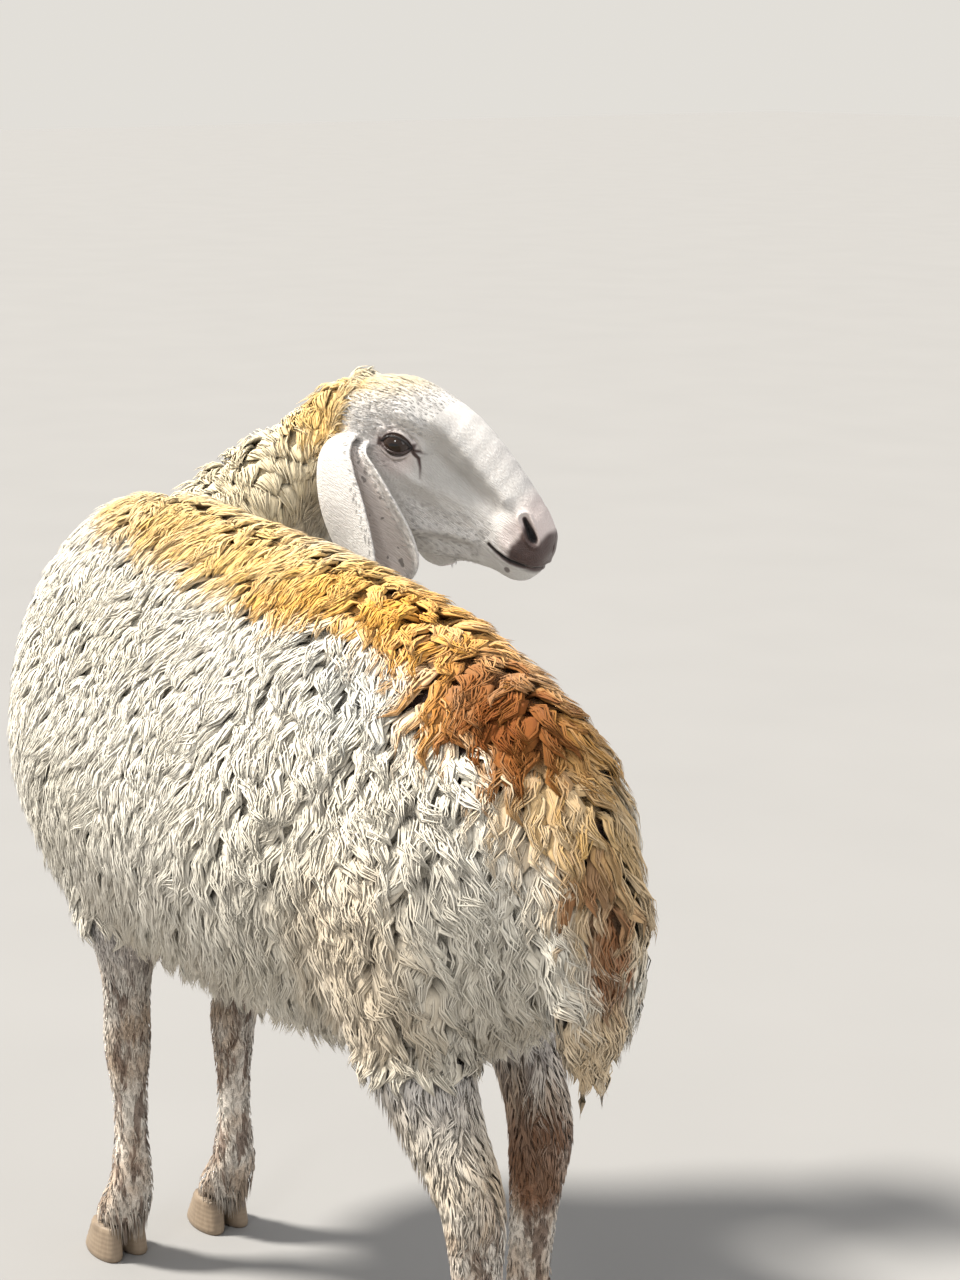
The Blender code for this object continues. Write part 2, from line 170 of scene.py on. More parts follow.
def applied(obj, name):
    """A mesh with the object's modifiers applied; the object goes."""
    mesh = bpy.data.meshes.new_from_object(obj.evaluated_get(bpy.context.evaluated_depsgraph_get()))
    mesh.name = name
    bpy.data.objects.remove(obj)
    return mesh


def joined(parts):
    """Points and faces of several (points, faces) as one."""
    points, faces, count = [], [], 0
    for part_points, part_faces in parts:
        points.append(part_points)
        faces.append(part_faces + count)
        count += len(part_points)
    return np.concatenate(points), np.concatenate(faces)


def remeshed(name, points, triangles, voxel):
    """The outside of closed forms that meet or overlap, as one mesh."""
    obj = new_object(name, new_mesh(name, points, triangles))
    union = obj.modifiers.new("one_skin", "REMESH")
    union.mode = "VOXEL"
    union.voxel_size = voxel
    return applied(obj, name)


def eased(values, edges, times, share=0.5, weight=None):
    """Values at the points, each drawn towards the mean of its neighbours."""
    count = len(values)
    a, b = edges[:, 0], edges[:, 1]
    neighbours = np.maximum(np.bincount(a, minlength=count) + np.bincount(b, minlength=count), 1)
    pull = share if weight is None else share * weight[:, None]
    for _ in range(times):
        mean = np.empty_like(values)
        for k in range(values.shape[1]):
            total = np.bincount(a, values[b, k], count) + np.bincount(b, values[a, k], count)
            mean[:, k] = total / neighbours
        values = values + (mean - values) * pull
    return values


def set_points(mesh, points):
    """Moves the mesh's points to those places."""
    mesh.vertices.foreach_set("co", points.astype(np.float32).ravel())
    mesh.update()


# ---------------------------------------------------------------- where the coat is deep
NECK_CUT = np.array((0.280, -0.030, 0.660)) + SHIFT
NECK_AHEAD = unit(np.array((0.75, -0.35, 0.56)))
NECK_ACROSS = unit(np.cross(NECK_AHEAD, (0.0, 0.0, 1.0)))
TAIL_FRONT = -0.372 + SHIFT[0]
SHOULDER_DEPTH = 0.0120
RUMP_DEPTH = 0.0160
NECK_DEPTH = 0.0120
TAIL_DEPTH = 0.011
POLL_DEPTH = 0.010
LEG_DEPTH = 0.0022
HOCK_DEPTH = 0.0040  # what is added to a leg's from hock and knee upward


def past_poll(x, z):
    """How far head places lie ahead of a cut that slopes through poll and throat."""
    return 0.94 * x + 0.342 * z + 0.004


def share_of_head(points):
    """1 on the head, 0 on neck and body, easing over the poll and the throat."""
    x, y, z = in_head(points).T
    near = (np.abs(y) < 0.10) & (z > -0.16) & (z < 0.12) & (x < 0.32)
    return ease(-0.020, 0.040, past_poll(x, z)) * near


def share_of_face(points):
    """1 on the skull and jaw in front of the wool of poll and throat, 0 behind."""
    x, y, z = in_head(points).T
    near = (np.abs(y) < 0.085) & (z > -0.16) & (x < 0.32)
    return ease(0.016, 0.036, past_poll(x, z)) * near


def share_of_neck(points):
    """0 on the body, 1 on the neck and all that it carries."""
    return ease(-0.05, 0.07, (points - NECK_CUT) @ NECK_AHEAD)


def share_of_legs(points):
    """1 on the legs where they are free of the wool, 0 on belly and thighs."""
    x, y, z = (points - SHIFT).T
    beside = np.maximum(ease(0.135, 0.155, x), ease(-0.165, -0.185, x)) * ease(0.020, 0.032, np.abs(y))
    return np.maximum(ease(0.395, 0.375, z) * beside, ease(0.320, 0.305, z))


def hindness(places):
    """0 over shoulders and upper side, 1 where the wool hangs long: thighs, rump and low sides."""
    x, _, z = (places - SHIFT).T
    back = ease(0.10, -0.20, x + 0.5 * (z - 0.60))
    low = ease(0.52, 0.40, z) * 0.6
    return np.clip(np.maximum(back, low), 0, 1)


def coat_depth(points):
    """How far the skin of body, neck, tail and legs lies inside the tips of the coat."""
    depth = mix(SHOULDER_DEPTH, RUMP_DEPTH, hindness(points))
    depth = mix(depth, NECK_DEPTH, share_of_neck(points))
    tail = ease(0.01, -0.02, points[:, 0] - TAIL_FRONT) * ease(0.56, 0.52, points[:, 2])
    depth = mix(depth, TAIL_DEPTH, tail * (np.abs(points[:, 1] - SHIFT[1]) < 0.07))
    leg = LEG_DEPTH + HOCK_DEPTH * ease(0.22, 0.31, points[:, 2])
    depth = mix(depth, leg, share_of_legs(points) * (1 - tail))
    return mix(depth, POLL_DEPTH, share_of_head(points))


# ---------------------------------------------------------------- skin of the body
def body_skin():
    """Trunk, neck, tail and legs as one form, drawn in by the depth of the coat."""
    closing = 0.0006  # enough to close the cuts between the nodes
    parts = []
    for node in FLESH + LEGS:
        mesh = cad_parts[node].data
        points, triangles = arrays(mesh)
        parts.append((points + normals_of(mesh) * closing, triangles))
    points, triangles = joined(parts)
    mesh = remeshed("body_skin", points, triangles, BODY_VOXEL)
    edges = edges_of(mesh)
    points = eased(points_of(mesh), edges, 6)
    set_points(mesh, points)
    outward = unit(eased(normals_of(mesh), edges, 12))
    points = points - outward * coat_depth(points)[:, None]
    points = eased(points, edges, 3)
    return points, arrays(mesh)[1]


# ---------------------------------------------------------------- plain form of the head
HEAD_ROWS = (
    # along, crown, brow, eye line, cheek, jaw, throat: (half width, height) for those on the side
    (-0.030, 0.010, (0.030, 0.004), (0.046, -0.014), (0.046, -0.045), (0.028, -0.072), -0.080),
    (0.000, 0.030, (0.038, 0.022), (0.056, -0.002), (0.056, -0.045), (0.036, -0.088), -0.100),
    (0.030, 0.046, (0.042, 0.038), (0.062, 0.006), (0.060, -0.050), (0.038, -0.104), -0.118),
    (0.060, 0.056, (0.044, 0.047), (0.064, 0.012), (0.057, -0.052), (0.036, -0.110), -0.124),
    (0.088, 0.061, (0.042, 0.051), (0.057, 0.016), (0.050, -0.046), (0.031, -0.106), -0.119),
    (0.120, 0.062, (0.033, 0.053), (0.043, 0.020), (0.041, -0.036), (0.026, -0.098), -0.111),
    (0.155, 0.054, (0.027, 0.047), (0.034, 0.018), (0.034, -0.028), (0.021, -0.085), -0.097),
    (0.190, 0.043, (0.024, 0.036), (0.030, 0.009), (0.033, -0.026), (0.020, -0.068), -0.080),
    (0.220, 0.032, (0.022, 0.025), (0.031, 0.002), (0.035, -0.026), (0.021, -0.057), -0.066),
    (0.247, 0.020, (0.020, 0.013), (0.028, -0.003), (0.032, -0.026), (0.022, -0.052), -0.062),
    (0.268, 0.002, (0.013, -0.003), (0.018, -0.010), (0.021, -0.024), (0.014, -0.040), -0.050),
)


def cage(rings, strips=False):
    """A closed cage round rings of as many points; its ends are one face, or strips of four-sided faces."""
    shape = bmesh.new()
    rows = [[shape.verts.new(p) for p in ring] for ring in rings]
    count = len(rows[0])
    for near, far in zip(rows, rows[1:]):
        for k in range(count):
            n = (k + 1) % count
            shape.faces.new((near[k], near[n], far[n], far[k]))
    for row in (rows[0], rows[-1]):
        if strips:
            for k in range(count // 2 - 1):
                shape.faces.new((row[k], row[k + 1], row[count - 2 - k], row[count - 1 - k]))
        else:
            shape.faces.new(row)
    bmesh.ops.recalc_face_normals(shape, faces=shape.faces)
    return shape


def rounded(name, shape, levels):
    """The cage made round."""
    mesh = bpy.data.meshes.new(name)
    shape.to_mesh(mesh)
    shape.free()
    obj = new_object(name, mesh)
    soft = obj.modifiers.new("rounded", "SUBSURF")
    soft.levels = soft.render_levels = levels
    return applied(obj, name)


def bare_head():
    """The head without its hair, drawn in further under the wool of the poll."""
    under_wool = 0.009
    rings = []
    for along, top, brow, eye, cheek, jaw, bottom in HEAD_ROWS:
        side = (brow, eye, cheek, jaw)
        outline = [(0.0, top)] + list(side) + [(0.0, bottom)] + [(-w, v) for w, v in reversed(side)]
        rings.append([from_head((along, -w, v)) for w, v in outline])
    mesh = rounded("bare_head", cage(rings), 3)
    points = points_of(mesh)
    along = in_head(points)[:, 0]
    depth = mix(under_wool, HEAD_HAIR, ease(-0.01, 0.05, along))
    return points - normals_of(mesh) * depth[:, None], arrays(mesh)[1]


# ---------------------------------------------------------------- ears
EAR_ACROSS = 16  # cuts across the leaf of the ear
EAR_CUTS = 8  # triangles that rounding makes of each face of its cage
# down the ear: its share of the width, and how far round it is folded, in degrees
EAR_LEAF = ((0.42, 172), (0.56, 176), (0.76, 177), (1.00, 172), (1.06, 158), (0.84, 140), (0.30, 120))
EAR_FALL = (
    # below the bend at its root: outward from the head, down, and level with the head's way ahead
    (0.010, 0.020, 0.002),
    (0.013, 0.056, 0.015),
    (0.009, 0.098, 0.033),
    (0.004, 0.130, 0.045),
    (0.002, EAR_LENGTH, 0.050),
)
LEVEL_AHEAD = unit(AHEAD * (1, 1, 0))
DOWN = np.array((0.0, 0.0, -1.0))


def spline(values, t):
    """A smooth curve through rows of values, read at t, which counts from row to row."""
    values = np.asarray(values, float)
    last = len(values) - 1
    i = min(int(t), last - 1)
    f = t - i
    before, a = values[max(i - 1, 0)], values[i]
    b, after = values[i + 1], values[min(i + 2, last)]
    slope_a, slope_b = (b - before) * 0.5, (after - a) * 0.5
    return (
        a * (2 * f**3 - 3 * f**2 + 1)
        + slope_a * (f**3 - 2 * f**2 + f)
        + b * (3 * f**2 - 2 * f**3)
        + slope_b * (f**3 - f**2)
    )


def ear_line(hand):
    """Where the middle of the ear runs, from inside the head out and down."""
    outward = HEAD_LEFT * hand
    root = from_head((0.042, hand * 0.040, -0.022))
    bend = from_head((0.044, hand * 0.076, -0.024))
    hanging = [bend + outward * out + DOWN * fall + LEVEL_AHEAD * ahead for out, fall, ahead in EAR_FALL]
    return [root, bend] + hanging


def ear(hand):
    """A long leaf that stands out from the head and then hangs, its back edge folded outward and forward."""
    line = ear_line(hand)
    rings = []
    steps = 18
    for n in range(steps + 1):
        t = n / steps * (len(line) - 1)
        share, fold = spline(EAR_LEAF, t)
        along = unit(spline(line, min(t + 0.1, len(line) - 1)) - spline(line, max(t - 0.1, 0)))
        side = unit(LEVEL_AHEAD - along * (LEVEL_AHEAD @ along))
        over = np.cross(along, side) * -hand
        rings.append(ear_section(spline(line, t), side, over, EAR_WIDTH * share, math.radians(fold)))
    mesh = rounded("ear", cage(rings, strips=True), 1)
    return arrays(mesh)


def ear_section(centre, side, over, width, fold):
    """A ring round the folded leaf: from its front rim back, over and forward, and home along the hollow."""
    fine = 4  # lengths between two cuts
    count = EAR_ACROSS * fine
    across_share = np.arange(count + 1) / count
    heading = fold * ease(EAR_FOLD_FROM, EAR_FOLD_FROM + EAR_FOLD_SHARE, across_share)
    heading -= EAR_RIM_CURL * ease(0.14, 0.0, across_share)
    steps = np.stack((-np.cos(heading), np.sin(heading)), 1)[:-1] * width / count
    place = np.concatenate((np.zeros((1, 2)), np.cumsum(steps, 0)))
    place = place - place.mean(0)
    outer, inner = [], []
    for k in range(EAR_ACROSS + 1):
        angle, point = heading[k * fine], place[k * fine]
        rim = abs(2 * k / EAR_ACROSS - 1)
        half = EAR_THICKNESS / 2 * (1 - 0.25 * rim**3)
        normal = np.array((-math.sin(angle), -math.cos(angle))) * half
        for row, p in ((outer, point + normal), (inner, point - normal)):
            row.append(centre + side * p[0] + over * p[1])
    return outer + list(reversed(inner))


def head_skin():
    """Head and ears as one fine skin."""
    points, triangles = joined([bare_head(), ear(LEFT), ear(RIGHT)])
    mesh = remeshed("head_skin", points, triangles, HEAD_VOXEL)
    edges = edges_of(mesh)
    return eased(points_of(mesh), edges, 5), arrays(mesh)[1]


def whole_skin():
    """One skin: the body's and the head's, united."""
    body = new_object("body_skin", new_mesh("body_skin", *body_skin()))
    head = new_object("head_skin", new_mesh("head_skin", *head_skin()))
    union = body.modifiers.new("union", "BOOLEAN")
    union.operation = "UNION"
    union.solver = "EXACT"
    union.object = head
    mesh = applied(body, "skin")
    bpy.data.objects.remove(head)
    return mesh


# ---------------------------------------------------------------- the face's own shapes
FISSURE_TILT = math.radians(21)  # the eye's opening rises towards the nose
OPENING = (0.0150, 0.0086, 0.0068)  # half length, rise and drop of the eye's opening
LID = 0.0016  # thickness of an eyelid
EYE_REACH = 0.030  # how far from the middle of the eye the lids shape the skin
# lines that the face's folds follow, in the head's axes on its left
NOSTRIL = (
    (0.2285, 0.0258, 0.0100), (0.2370, 0.0262, 0.0050), (0.2440, 0.0235, -0.0015), (0.2480, 0.0190, -0.0060),
)
MOUTH = (
    (0.2120, 0.0300, -0.0330), (0.2220, 0.0290, -0.0355), (0.2394, 0.0262, -0.0350),
    (0.2520, 0.0225, -0.0315), (0.2610, 0.0150, -0.0285), (0.2670, 0.0000, -0.0265),
)
PHILTRUM = ((0.2560, 0.0000, 0.0040), (0.2680, 0.0000, -0.0120), (0.2690, 0.0000, -0.0260))
TEAR_LINE = (
    (0.0990, 0.0495, 0.0045), (0.1080, 0.0460, 0.0010), (0.1140, 0.0435, -0.0070), (0.1190, 0.0415, -0.0170),
)
EYE_CORNER = ((0.0940, 0.0520, 0.0050), (0.1050, 0.0475, 0.0065), (0.1160, 0.0430, 0.0078))
BROW_FOLD = (
    (0.0640, 0.0610, 0.0070), (0.0730, 0.0600, 0.0145), (0.0850, 0.0560, 0.0175),
    (0.0980, 0.0500, 0.0140), (0.1060, 0.0465, 0.0070),
)
CREST = (
    (0.1150, 0.0470, -0.0230), (0.1400, 0.0430, -0.0200),
    (0.1650, 0.0400, -0.0130), (0.1900, 0.0380, -0.0080),
)
NOSE_EDGE = (
    (0.1000, 0.0380, 0.0400), (0.1300, 0.0330, 0.0330), (0.1600, 0.0290, 0.0260), (0.2000, 0.0250, 0.0130),
)
NOSE_SIDE = ((0.1230, 0.0420, 0.0080), (0.1600, 0.0360, 0.0030), (0.1950, 0.0340, -0.0010))
JAW = (
    (0.0850, 0.0420, -0.0900), (0.1150, 0.0350, -0.0800), (0.1390, 0.0290, -0.0680),
    (0.1624, 0.0275, -0.0533), (0.1924, 0.0280, -0.0420),
)
UNDER_JAW = (
    (0.1150, 0.0240, -0.0930), (0.1400, 0.0200, -0.0800),
    (0.1650, 0.0200, -0.0660), (0.1924, 0.0210, -0.0530),
)
# how far each of these stands out from the plain form of the head, and its reach
RIDGES = (
    (CREST, 0.0052, 0.0070),
    (NOSE_EDGE, 0.0040, 0.0075),
    (NOSE_SIDE, -0.0082, 0.0115),
    (JAW, 0.0050, 0.0070),
    (UNDER_JAW, -0.0050, 0.0090),
)
# rounded forms: their middle, their reach along, across and up, and how far they stand out
SKULL_SWELLS = (
    ((0.080, 0.050, 0.030), (0.028, 0.014, 0.009), 0.0078),  # brow
    ((0.112, 0.043, 0.022), (0.020, 0.013, 0.013), -0.0060),  # dip before the brow
    ((0.098, 0.050, -0.021), (0.016, 0.012, 0.008), 0.0030),  # bag below the eye
    ((0.060, 0.060, -0.052), (0.030, 0.020, 0.028), 0.0045),  # cheek muscle
    ((0.130, 0.038, -0.044), (0.024, 0.015, 0.014), -0.0068),  # hollow of the cheek
)
MUZZLE_SWELLS = (
    ((0.233, 0.030, 0.013), (0.012, 0.010, 0.007), 0.0034),  # wing of the nostril
    ((0.256, 0.015, -0.020), (0.012, 0.012, 0.009), 0.0026),  # upper lip
    ((0.230, 0.031, -0.024), (0.014, 0.010, 0.008), 0.0028),  # lip at the side
    ((0.248, 0.014, -0.052), (0.014, 0.014, 0.012), 0.0028),  # chin
)
VEIN_RELIEF = 0.0004


def away_from(line, points):
    """Distance of the points from a line of straight lengths, and how far along it they lie, 0 to 1."""
    best = np.full(len(points), 1e9)
    where = np.zeros(len(points))
    line = np.asarray(line, float)
    for k, (a, b) in enumerate(zip(line, line[1:])):
        run = b - a
        t = np.clip((points - a) @ run / (run @ run), 0, 1)
        distance = np.linalg.norm(points - (a + t[:, None] * run), axis=1)
        closer = distance < best
        best[closer] = distance[closer]
        where[closer] = (k + t[closer]) / (len(line) - 1)
    return best, where


def one_sided(points):
    """Head places with the right half laid over the left, for shapes that both sides share."""
    return points * (1, 0, 1) + np.abs(points) * (0, 1, 0)


def eye_axes():
    """Along the left eye's opening, up across it, and out of it, in the head's axes."""
    out = unit(np.array((0.16, 1.0, 0.10)))
    along = np.array((math.cos(FISSURE_TILT), 0.0, math.sin(FISSURE_TILT)))
    along = unit(along - out * (along @ out))
    return np.array((along, np.cross(out, along) * -1, out))


def lid_edge(u):
    """Rise of the upper lid's edge and drop of the lower one's at u, -1 at the rear corner, 1 in front."""
    round_off = np.clip(1 - u * u, 0, 1) ** 0.72
    rear = 1 + 0.18 * u
    return OPENING[1] * round_off * (2 - rear), OPENING[2] * round_off * rear


def shaped_eyes(face):
    """Head places, with the skin over each eyeball drawn as lids with an opening between them."""
    axes = eye_axes()
    local = (one_sided(face) - EYE_PLACE) @ axes.T
    radius = np.linalg.norm(local, axis=1)
    near = (radius < EYE_REACH) & (local[:, 2] > 0)
    over = EYE_RADIUS + LID
    soft = 0.0030  # how gently the lids run out into the face
    gap = np.clip(0.5 + 0.5 * (over - radius) / soft, 0, 1)
    swollen = mix(radius, over, gap) + soft * gap * (1 - gap)
    u = local[:, 0] / OPENING[0]
    v = local[:, 1]
    rise, drop = lid_edge(u)
    inside = np.where(v > 0, rise - v, drop + v)
    inside[np.abs(local[:, 0]) > OPENING[0]] = -1.0
    behind_eye = EYE_RADIUS - 0.0040
    target = mix(swollen, behind_eye, ease(-0.0003, 0.0009, inside))
    target = np.where(near, target, radius)
    moved = local * (target / np.maximum(radius, 1e-6))[:, None]
    # a fold above the upper lid and a shallow one below the lower
    fold = bell(v - rise - 0.0075, 0.0016) * ease(1.25, 0.9, np.abs(u))
    under = bell(v + drop + 0.0070, 0.0022) * ease(1.2, 0.7, np.abs(u))
    moved[:, 2] -= np.where(near, fold * 0.0014 + under * 0.0010, 0)
    back = moved @ axes + EYE_PLACE
    back[:, 1] *= np.where(face[:, 1] < 0, -1.0, 1.0)
    return np.where(near[:, None], back, face)


def swell(place, centre, reach, height):
    """A rounded form of that height in metres, fading out over its reach in each direction."""
    away = np.linalg.norm((place - centre) / reach, axis=1)
    return height * np.exp(-(away**2))


def face_relief(face):
    """How far the face stands out, in metres, from the plain form of the head."""
    place = one_sided(face)
    x, y, z = place.T
    out = np.zeros(len(place))
    for form in SKULL_SWELLS:
        out += swell(place, *form)
    for line, height, reach in RIDGES:
        away, _ = away_from(line, place)
        out += height * bell(away, reach)
    for form in MUZZLE_SWELLS:
        out += swell(place, *form)
    slit, along = away_from(NOSTRIL, place)
    open_share = 0.40 + 0.60 * np.sin(np.pi * np.clip(along, 0, 1) ** 0.7)
    out += 0.0018 * bell(slit - 0.0065, 0.0020) - 0.0110 * open_share * bell(slit, 0.0034)
    mouth, along = away_from(MOUTH, place)
    out += 0.0009 * bell(mouth - 0.0045, 0.0018) - 0.0040 * bell(mouth, 0.0018) * ease(-0.05, 0.25, along)
    groove, _ = away_from(PHILTRUM, place)
    out -= 0.0020 * bell(groove, 0.0016)
    fold, _ = away_from(BROW_FOLD, place)
    out += 0.0016 * bell(fold - 0.0045, 0.0022) - 0.0026 * bell(fold, 0.0016)
    for line in (TEAR_LINE, EYE_CORNER):
        away, _ = away_from(line, place)
        out -= 0.0014 * bell(away, 0.0017)
    veins = np.sin(x * 210 + 9 * z * 20) * np.sin(z * 260 - x * 90 + y * 120)
    return out + VEIN_RELIEF * veins * ease(0.05, 0.10, x)


def finer(mesh, chosen):
    """Each chosen triangle of the mesh as four, where chosen says so for each point."""
    shape = bmesh.new()
    shape.from_mesh(mesh)
    shape.verts.ensure_lookup_table()
    edges = [e for e in shape.edges if chosen[e.verts[0].index] and chosen[e.verts[1].index]]
    bmesh.ops.subdivide_edges(shape, edges=edges, cuts=1, use_grid_fill=True)
    bmesh.ops.triangulate(shape, faces=shape.faces)
    shape.to_mesh(mesh)
    shape.free()


def detailed_spots(face, close=False):
    """Whether each head place needs a finer mesh, or, close to the face's openings, the finest."""
    place = one_sided(face)
    eye = np.linalg.norm(place - EYE_PLACE, axis=1)
    tear, _ = away_from(TEAR_LINE, place)
    if not close:
        x, y, z = place.T
        muzzle = (x > 0.212) & (x < 0.31) & (y < 0.05) & (z < 0.04) & (z > -0.09)
        return (eye < EYE_REACH) | muzzle | (tear < 0.0060)
    slit, _ = away_from(NOSTRIL, place)
    mouth, _ = away_from(MOUTH, place)
    return (eye < 0.0245) | (slit < 0.0080) | (mouth < 0.0045) | (tear < 0.0040)


def lid_rims():
    """The rim of each eye's opening, a closed roll of bare skin, as points and triangles."""
    axes = eye_axes()
    count, sides = 56, 8
    half_width, half_height = 0.0013, 0.0011
    least_rise = 0.002  # of the rim over the middle of the eye, at its corners
    parts = []
    for hand in (LEFT, RIGHT):
        a = np.arange(count) / count * 2 * math.pi
        u = np.cos(a)
        rise, drop = lid_edge(u)
        v = np.where(np.sin(a) >= 0, rise, -drop)
        local = np.stack((u * OPENING[0], v, np.zeros(count)), 1)
        flat = np.linalg.norm(local, axis=1)
        local[:, 2] = np.sqrt(np.maximum((EYE_RADIUS + 0.0004) ** 2 - flat**2, least_rise**2))
        out = unit(local)
        run = unit(np.roll(local, -1, 0) - np.roll(local, 1, 0))
        across = np.cross(run, out)
        b = (np.arange(sides) / sides * 2 * math.pi)[None, :, None]
        ring = across[:, None] * np.cos(b) * half_width + out[:, None] * np.sin(b) * half_height
        points = ((local[:, None] + ring).reshape(-1, 3) @ axes + EYE_PLACE) * (1, hand, 1)
        k, s = np.meshgrid(np.arange(count), np.arange(sides), indexing="ij")
        k2, s2 = (k + 1) % count, (s + 1) % sides
        corners = [(k * sides + s), (k2 * sides + s), (k2 * sides + s2), (k * sides + s2)]
        quads = np.stack([c.ravel() for c in corners], 1)
        triangles = np.concatenate((quads[:, [0, 1, 2]], quads[:, [0, 2, 3]]))
        if hand < 0:
            triangles = triangles[:, ::-1]
        parts.append((from_head(points), triangles))
    return joined(parts)


def with_mark(mesh, name, values):
    """Stores a number, or a vector, for each point of the mesh."""
    kind = "FLOAT_VECTOR" if values.ndim == 2 else "FLOAT"
    field = "vector" if values.ndim == 2 else "value"
    mesh.attributes.new(name, kind, "POINT").data.foreach_set(field, values.astype(np.float32).ravel())


def unwrapped(obj):
    """Lays the skin's own shape out flat in a map named OFBake."""
    obj.data.uv_layers.new(name="OFBake")
    bpy.context.view_layer.objects.active = obj
    obj.select_set(True)
    bpy.ops.object.mode_set(mode="EDIT")
    bpy.ops.mesh.select_all(action="SELECT")
    bpy.ops.uv.smart_project(angle_limit=math.radians(66), island_margin=0.002)
    bpy.ops.object.mode_set(mode="OBJECT")
    obj.select_set(False)


def ear_marks(points):
    """Three marks for each point: 1 on an ear, 1 in the hollow of an ear, and 1 along its edges."""
    on_ear, hollow, edge = np.zeros((3, len(points)))
    near_leaf = 0.004
    for hand in (LEFT, RIGHT):
        leaf_points, leaf_faces = ear(hand)
        leaf = BVHTree.FromPolygons(leaf_points.tolist(), leaf_faces.tolist())
        line = np.array(ear_line(hand))
        gap, along = away_from(line, points)
        aside = in_head(points)[:, 1] * hand
        for row in np.flatnonzero((gap < 0.09) & (aside > 0.035)):
            _, _, face, distance = leaf.find_nearest(points[row].tolist(), near_leaf)
            if distance is not None:
                on_ear[row] = ease(0.0, 0.25, along[row])
                round_share = face // EAR_CUTS % (2 * EAR_ACROSS + 2) / EAR_ACROSS
                hollow[row] = ease(1.0, 1.1, round_share) * ease(2.0, 1.85, round_share)
                edge[row] = (abs(round_share - 1) < 0.1) or min(round_share, 2.1 - round_share) < 0.2
    return on_ear, hollow * on_ear, edge


def skin():
    """The whole skin with its face, and the marks its finish needs."""
    mesh = whole_skin()
    for close in (False, True):
        finer(mesh, detailed_spots(in_head(points_of(mesh)), close))
    edges = edges_of(mesh)
    points = points_of(mesh)
    face = in_head(points)
    seam = bell(face[:, 0], 0.030) * (np.linalg.norm(face * (0, 1, 1), axis=1) < 0.16)
    points = eased(points, edges, 10, weight=seam)
    points = eased(points, edges, 4, weight=detailed_spots(face).astype(float))
    set_points(mesh, points)
    face = in_head(points)
    plain = one_sided(face)
    x, y, z = face.T
    on_head = (x > 0.02) & (x < 0.30) & (np.abs(y) < 0.075) & (np.abs(z) < 0.14)
    smooth_normals = unit(eased(normals_of(mesh), edges, 2))
    relief = np.where(on_head, face_relief(face), 0)
    face = in_head(points + smooth_normals * relief[:, None])
    face = np.where(on_head[:, None], shaped_eyes(face), face)
    set_points(mesh, from_head(face))
    count = len(mesh.vertices)
    points, triangles = joined([arrays(mesh), lid_rims()])
    made = new_mesh("skin", points, triangles)
    made.shade_smooth()
    place = one_sided(in_head(points))
    plain = np.concatenate((plain, place[count:]))
    on_rim = np.arange(len(points)) >= count
    on_ear, hollow, edge = ear_marks(points)
    with_mark(made, "place", points)
    with_mark(made, "bare", bare_skin(place, plain, on_rim))
    with_mark(made, "hollow", hollow)
    with_mark(made, "edge", edge)
    with_mark(made, "on_ear", on_ear)
    with_mark(made, "haired", np.maximum.reduce([share_of_face(points), on_ear, share_of_legs(points)]))
    obj = new_object("skin", made)
    unwrapped(obj)
    bpy.data.meshes.remove(mesh)
    return obj


def bare_skin(place, plain, on_rim):
    """1 where the skin is bare and dark, 2 where it is black: nostrils, lid rims, between the lips.

    plain is each place as it was before the face's folds were raised.
    """
    x, _, z = place.T
    slit, below = away_from(NOSTRIL, plain)
    slit = slit + 0.0022 * (1 - below) ** 2
    mouth, along = away_from(MOUTH, plain)
    tear, down = away_from(TEAR_LINE, plain)
    corner, onward = away_from(EYE_CORNER, plain)
    corner = corner + 0.0034 * onward**1.5
    # the nose's bare pad, the chin, the lips and the line of tears
    ragged = 0.0009 * np.sin(z * 310 + x * 220) + 0.0004 * np.sin(z * 900)
    below_slit = z - np.interp(x, *np.array(NOSTRIL)[:, [0, 2]].T) + ragged
    pad = ease(0.2290, 0.2370, x + ragged) * ease(0.0060, -0.0010, below_slit)
    pad *= ease(-0.0385, -0.0310, z)
    nose_tip = ease(0.2500, 0.2560, x) * ease(0.0130, 0.0060, z) * ease(-0.0370, -0.0310, z)
    chin_spot = ease(0.0042, 0.0026, np.linalg.norm(place - (0.2400, 0.0225, -0.0465), axis=1))
    lips = ease(0.0045, 0.0022, mouth) * ease(0.0, 0.35, along)
    stroke = ease(0.0038, 0.0016, tear + 0.0020 * down) * (1.35 - 0.55 * down)
    dark = np.maximum.reduce([pad, nose_tip, 0.8 * chin_spot, lips, stroke, ease(0.0046, 0.0022, corner)])
    # how far outside the eye's opening, and so the lids
    local = (place - EYE_PLACE) @ eye_axes().T
    u, v = local[:, 0], local[:, 1]
    rise, drop = lid_edge(np.clip(u / OPENING[0], -1, 1))
    outside = np.where(v > 0, v - rise, -drop - v)
    outside = np.maximum(outside, np.abs(u) - OPENING[0])
    lids = ease(0.0062, 0.0030, outside) * (np.linalg.norm(local, axis=1) < 0.028)
    lash_line = ease(0.0034, 0.0016, outside) * lids * (v > 0)
    within = 0.6 * ease(0.002, 0.0, outside) * lids
    nostril, between_lips = ease(0.0060, 0.0036, slit), ease(0.0030, 0.0012, mouth)
    black = np.maximum.reduce([nostril, between_lips, within, lash_line, 0.95 * ease(0.0038, 0.0018, corner)])
    return np.maximum.reduce([dark, lids, on_rim * 1.3, 2 * black])


# ---------------------------------------------------------------- eyes and claws
CORNEA_FULL = 0.0080  # how far out from its middle the cornea keeps its height
CORNEA_EDGE = 0.0123  # and where it ends
CORNEA_RISE = 0.045  # share of the eye's radius


